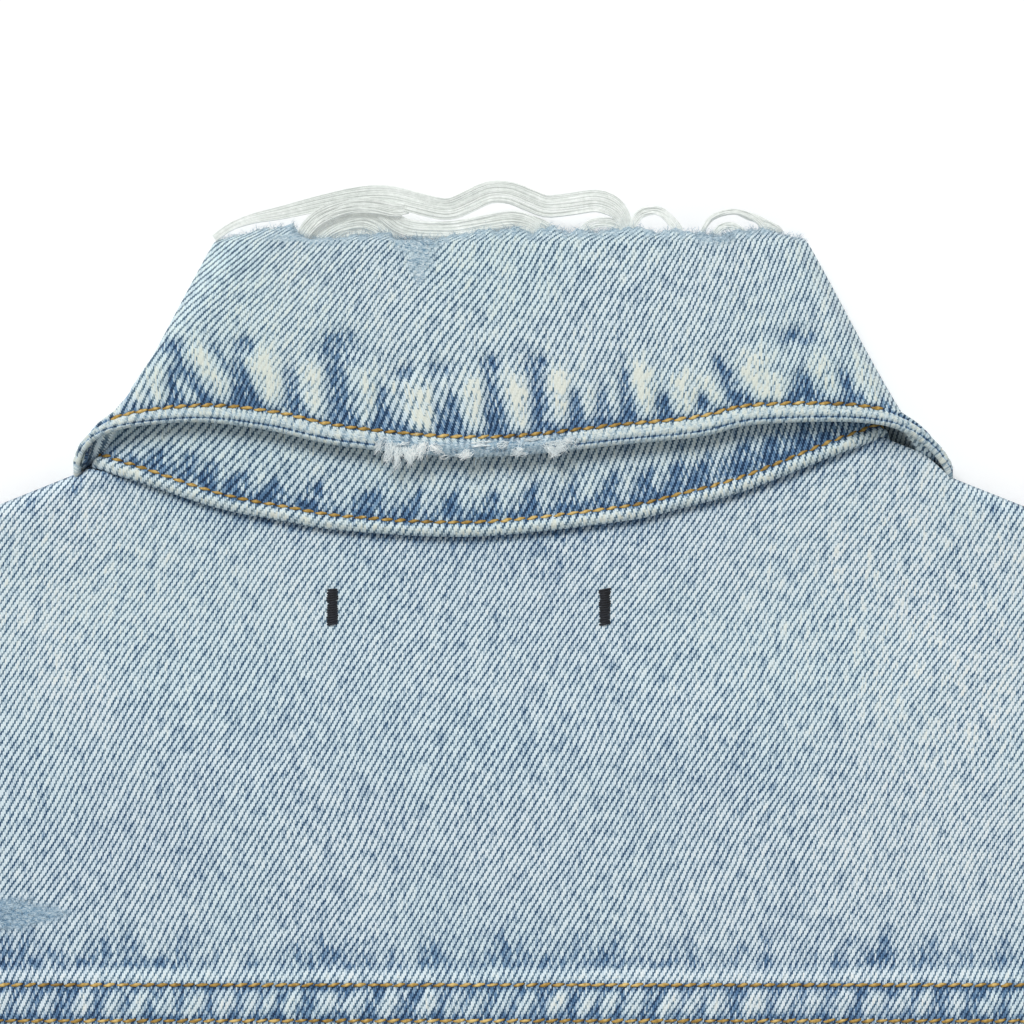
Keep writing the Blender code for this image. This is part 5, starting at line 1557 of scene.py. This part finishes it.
def makeTufts():
    draw = np.random.default_rng(71)
    top = leafPoints[:12].reshape(-1, 3)
    f = np.linspace(0, 1, tufts["steps"])[:, None]
    lines = []
    for rootX, rootY, tipX, tipY, spread in tufts["places"]:
        root, tip = fromPhoto((rootX, rootY)), fromPhoto((tipX, tipY))
        z = top[np.argmin(np.hypot(top[:, 0] - root[0], top[:, 1] - root[1])), 2] + 0.2
        for _ in range(tufts["hairs"]):
            a = root + draw.normal(0, 0.55 * spread, 2) * pixel["size"] * (1, 0.6)
            b = tip + draw.normal(0, 0.42 * spread, 2) * pixel["size"]
            curl = draw.normal(0, 0.38, 2) * np.sin(np.pi * f)
            curl = curl + draw.normal(0, 0.2, 2) * np.sin(2.5 * np.pi * f)
            height = z + draw.uniform(-0.5, 0.7) * f
            height = height + draw.uniform(0, 0.6) * np.sin(np.pi * f) - 0.9 * f * f
            lines.append(np.concatenate([a + (b - a) * f * draw.uniform(0.5, 1.1) + curl, height], 1))
    for startX, endX, py in tufts["slits"]:
        for _ in range(tufts["slitHairs"]):
            a, b = fromPhoto(((startX, py), (endX, py - 1.5))) + draw.normal(0, 0.14, (2, 2))
            z = top[np.argmin(np.hypot(top[:, 0] - a[0], top[:, 1] - a[1])), 2] + 0.25
            wave = draw.normal(0, 0.3) * np.sin(np.pi * f) + draw.normal(0, 0.1) * np.sin(3 * np.pi * f)
            lines.append(np.concatenate([a + (b - a) * f + wave * (0, 1), z + 0.45 * np.sin(np.pi * f)], 1))
    grown(pathMesh("edge_tufts", lines), "yarn",
          {"Radius": tufts["radius"] * mm, "Sides": 3, "Yarn": fluffYarn})


makeTufts()

# short plain bar tacks on the yoke
barTack = {"places": ((332, 607), (605, 607)), "height": 8.0, "width": 2.3, "wraps": 15, "radius": 0.27}


def makeTacks():
    draw = np.random.default_rng(61)
    lines = []
    flat = yokePoints.reshape(-1, 3)
    for px, py in barTack["places"]:
        midX, midY = fromPhoto((px, py))
        for k in range(barTack["wraps"]):
            y = midY + ((k + 0.5) / barTack["wraps"] - 0.5) * barTack["height"]
            base = flat[np.argmin(np.hypot(flat[:, 0] - midX, flat[:, 1] - y)), 2]
            f = np.linspace(0, 1, 9)
            reach = barTack["width"] * draw.uniform(0.9, 1.12)
            slanted = y + (f - 0.5) * draw.uniform(0.1, 0.5)
            lines.append(np.column_stack([midX + (f - 0.5) * reach, slanted,
                                          base - 0.25 + 0.75 * np.sin(np.pi * f) ** 0.6]))
    guide = pathMesh("bar_tacks", lines)
    grown(guide, "yarn", {"Radius": barTack["radius"] * mm, "Sides": 6, "Yarn": darkThread})


makeTacks()
print("stitches, yarns and fluff made")

# buttons: a turned cap with a raised rim, a ring and a domed middle
button = {"radius": 8.5, "height": 3.0, "sides": 48}
buttonProfile = ((0.0, 1.0), (0.22, 0.99), (0.34, 0.93), (0.40, 0.80), (0.46, 0.78), (0.52, 0.86),
                 (0.60, 0.86), (0.66, 0.74), (0.78, 0.72), (0.83, 0.82), (0.88, 0.95), (0.93, 0.97),
                 (0.975, 0.86), (1.0, 0.62), (1.0, 0.3), (0.95, 0.1), (0.8, 0.02), (0.5, 0.0), (0.0, 0.0))


def makeButton(node):
    low, high = (np.array(c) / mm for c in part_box(node))
    middle = (low + high) / 2
    faceUp = node.startswith("cuff")
    turn = np.linspace(0, 2 * np.pi, button["sides"], endpoint=False)
    around = [(r * math.cos(a), r * math.sin(a), h) for r, h in buttonProfile[1:-1] for a in turn]
    verts = np.array([(0, 0, buttonProfile[0][1]), *around, (0, 0, 0.0)])
    verts = verts * (button["radius"], button["radius"], button["height"])
    n, rings = button["sides"], len(buttonProfile) - 2

    def ring(r, k):
        return 1 + r * n + k % n

    faces = [[0, ring(0, k), ring(0, k + 1)] for k in range(n)]
    faces += [[ring(r, k), ring(r + 1, k), ring(r + 1, k + 1), ring(r, k + 1)] for r in range(rings - 1)
              for k in range(n)]
    faces += [[len(verts) - 1, ring(rings - 1, k + 1), ring(rings - 1, k)] for k in range(n)]
    if not faceUp:
        verts = verts * (1, -1, -1) + (0, 0, button["height"])
    mesh = bpy.data.meshes.new(node + "_cap")
    mesh.from_pydata(((verts + (middle[0], middle[1], low[2])) * mm).tolist(), [], faces)
    mesh.shade_smooth()
    mesh.materials.append(buttonMetal)
    framed(linked(node + "_cap", mesh), node)


for node in sorted(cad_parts):
    if "_button_" in node and not node.startswith("placket"):
        makeButton(node)
print("buttons made")

# floor, light and camera
studio = {"floor": 4.0, "tone": "#fbfbfb", "glow": 0.12, "sky": 0.46, "sun": 1.98, "sunAngle": 24.0,
          "sunFrom": (-0.3, 0.7, 1.0), "cameraHeight": 1.6, "viewWidth": 225.3, "viewY": 5.06,
          "focusZ": 12.0}


def makeStudio():
    half = studio["floor"]
    mesh = bpy.data.meshes.new("floor")
    mesh.from_pydata([(-half, -half, 0), (half, -half, 0), (half, half, 0), (-half, half, 0)], [],
                     [(0, 1, 2, 3)])
    material, shader, wire = newMaterial("floor_paper", Roughness=0.9, Specular_IOR_Level=0.1)
    coords = wire.node("ShaderNodeTexCoord", out=3)
    speck = wire.node("ShaderNodeTexNoise", None, {"Vector": coords, "Scale": 300.0, "Detail": 3.0})
    feed(shader, "Base Color", speck.ramp(stops((0.3, "#fafafa"), (0.7, studio["tone"]))))
    shader.inputs["Emission Color"].default_value = (1, 1, 1, 1)
    shader.inputs["Emission Strength"].default_value = studio["glow"]
    mesh.materials.append(material)
    linked("floor", mesh)
    world = bpy.data.worlds.new("studio")
    bpy.context.scene.world = world
    world.use_nodes = True
    sky = world.node_tree.nodes["Background"]
    sky.inputs["Color"].default_value = (1, 1, 1, 1)
    sky.inputs["Strength"].default_value = studio["sky"]
    lamp = bpy.data.lights.new("soft_key", "SUN")
    lamp.energy, lamp.angle = studio["sun"], math.radians(studio["sunAngle"])
    key = linked("soft_key", lamp)
    x, y, z = studio["sunFrom"]
    key.rotation_euler = (-math.atan2(y, math.hypot(x, z)), math.atan2(x, z), 0)
    lens = bpy.data.cameras.new("camera")
    lens.sensor_fit, lens.sensor_width = "HORIZONTAL", 36.0
    lens.lens = 36.0 * studio["cameraHeight"] / (studio["viewWidth"] * mm)
    lens.clip_start, lens.clip_end = 0.05, 20.0
    camera = linked("camera", lens)
    camera.location = (0, (studio["viewY"] + yShift) * mm, studio["cameraHeight"] + studio["focusZ"] * mm)
    bpy.context.scene.camera = camera
    bpy.context.scene.view_settings.view_transform = "Standard"


makeStudio()
print("studio made")
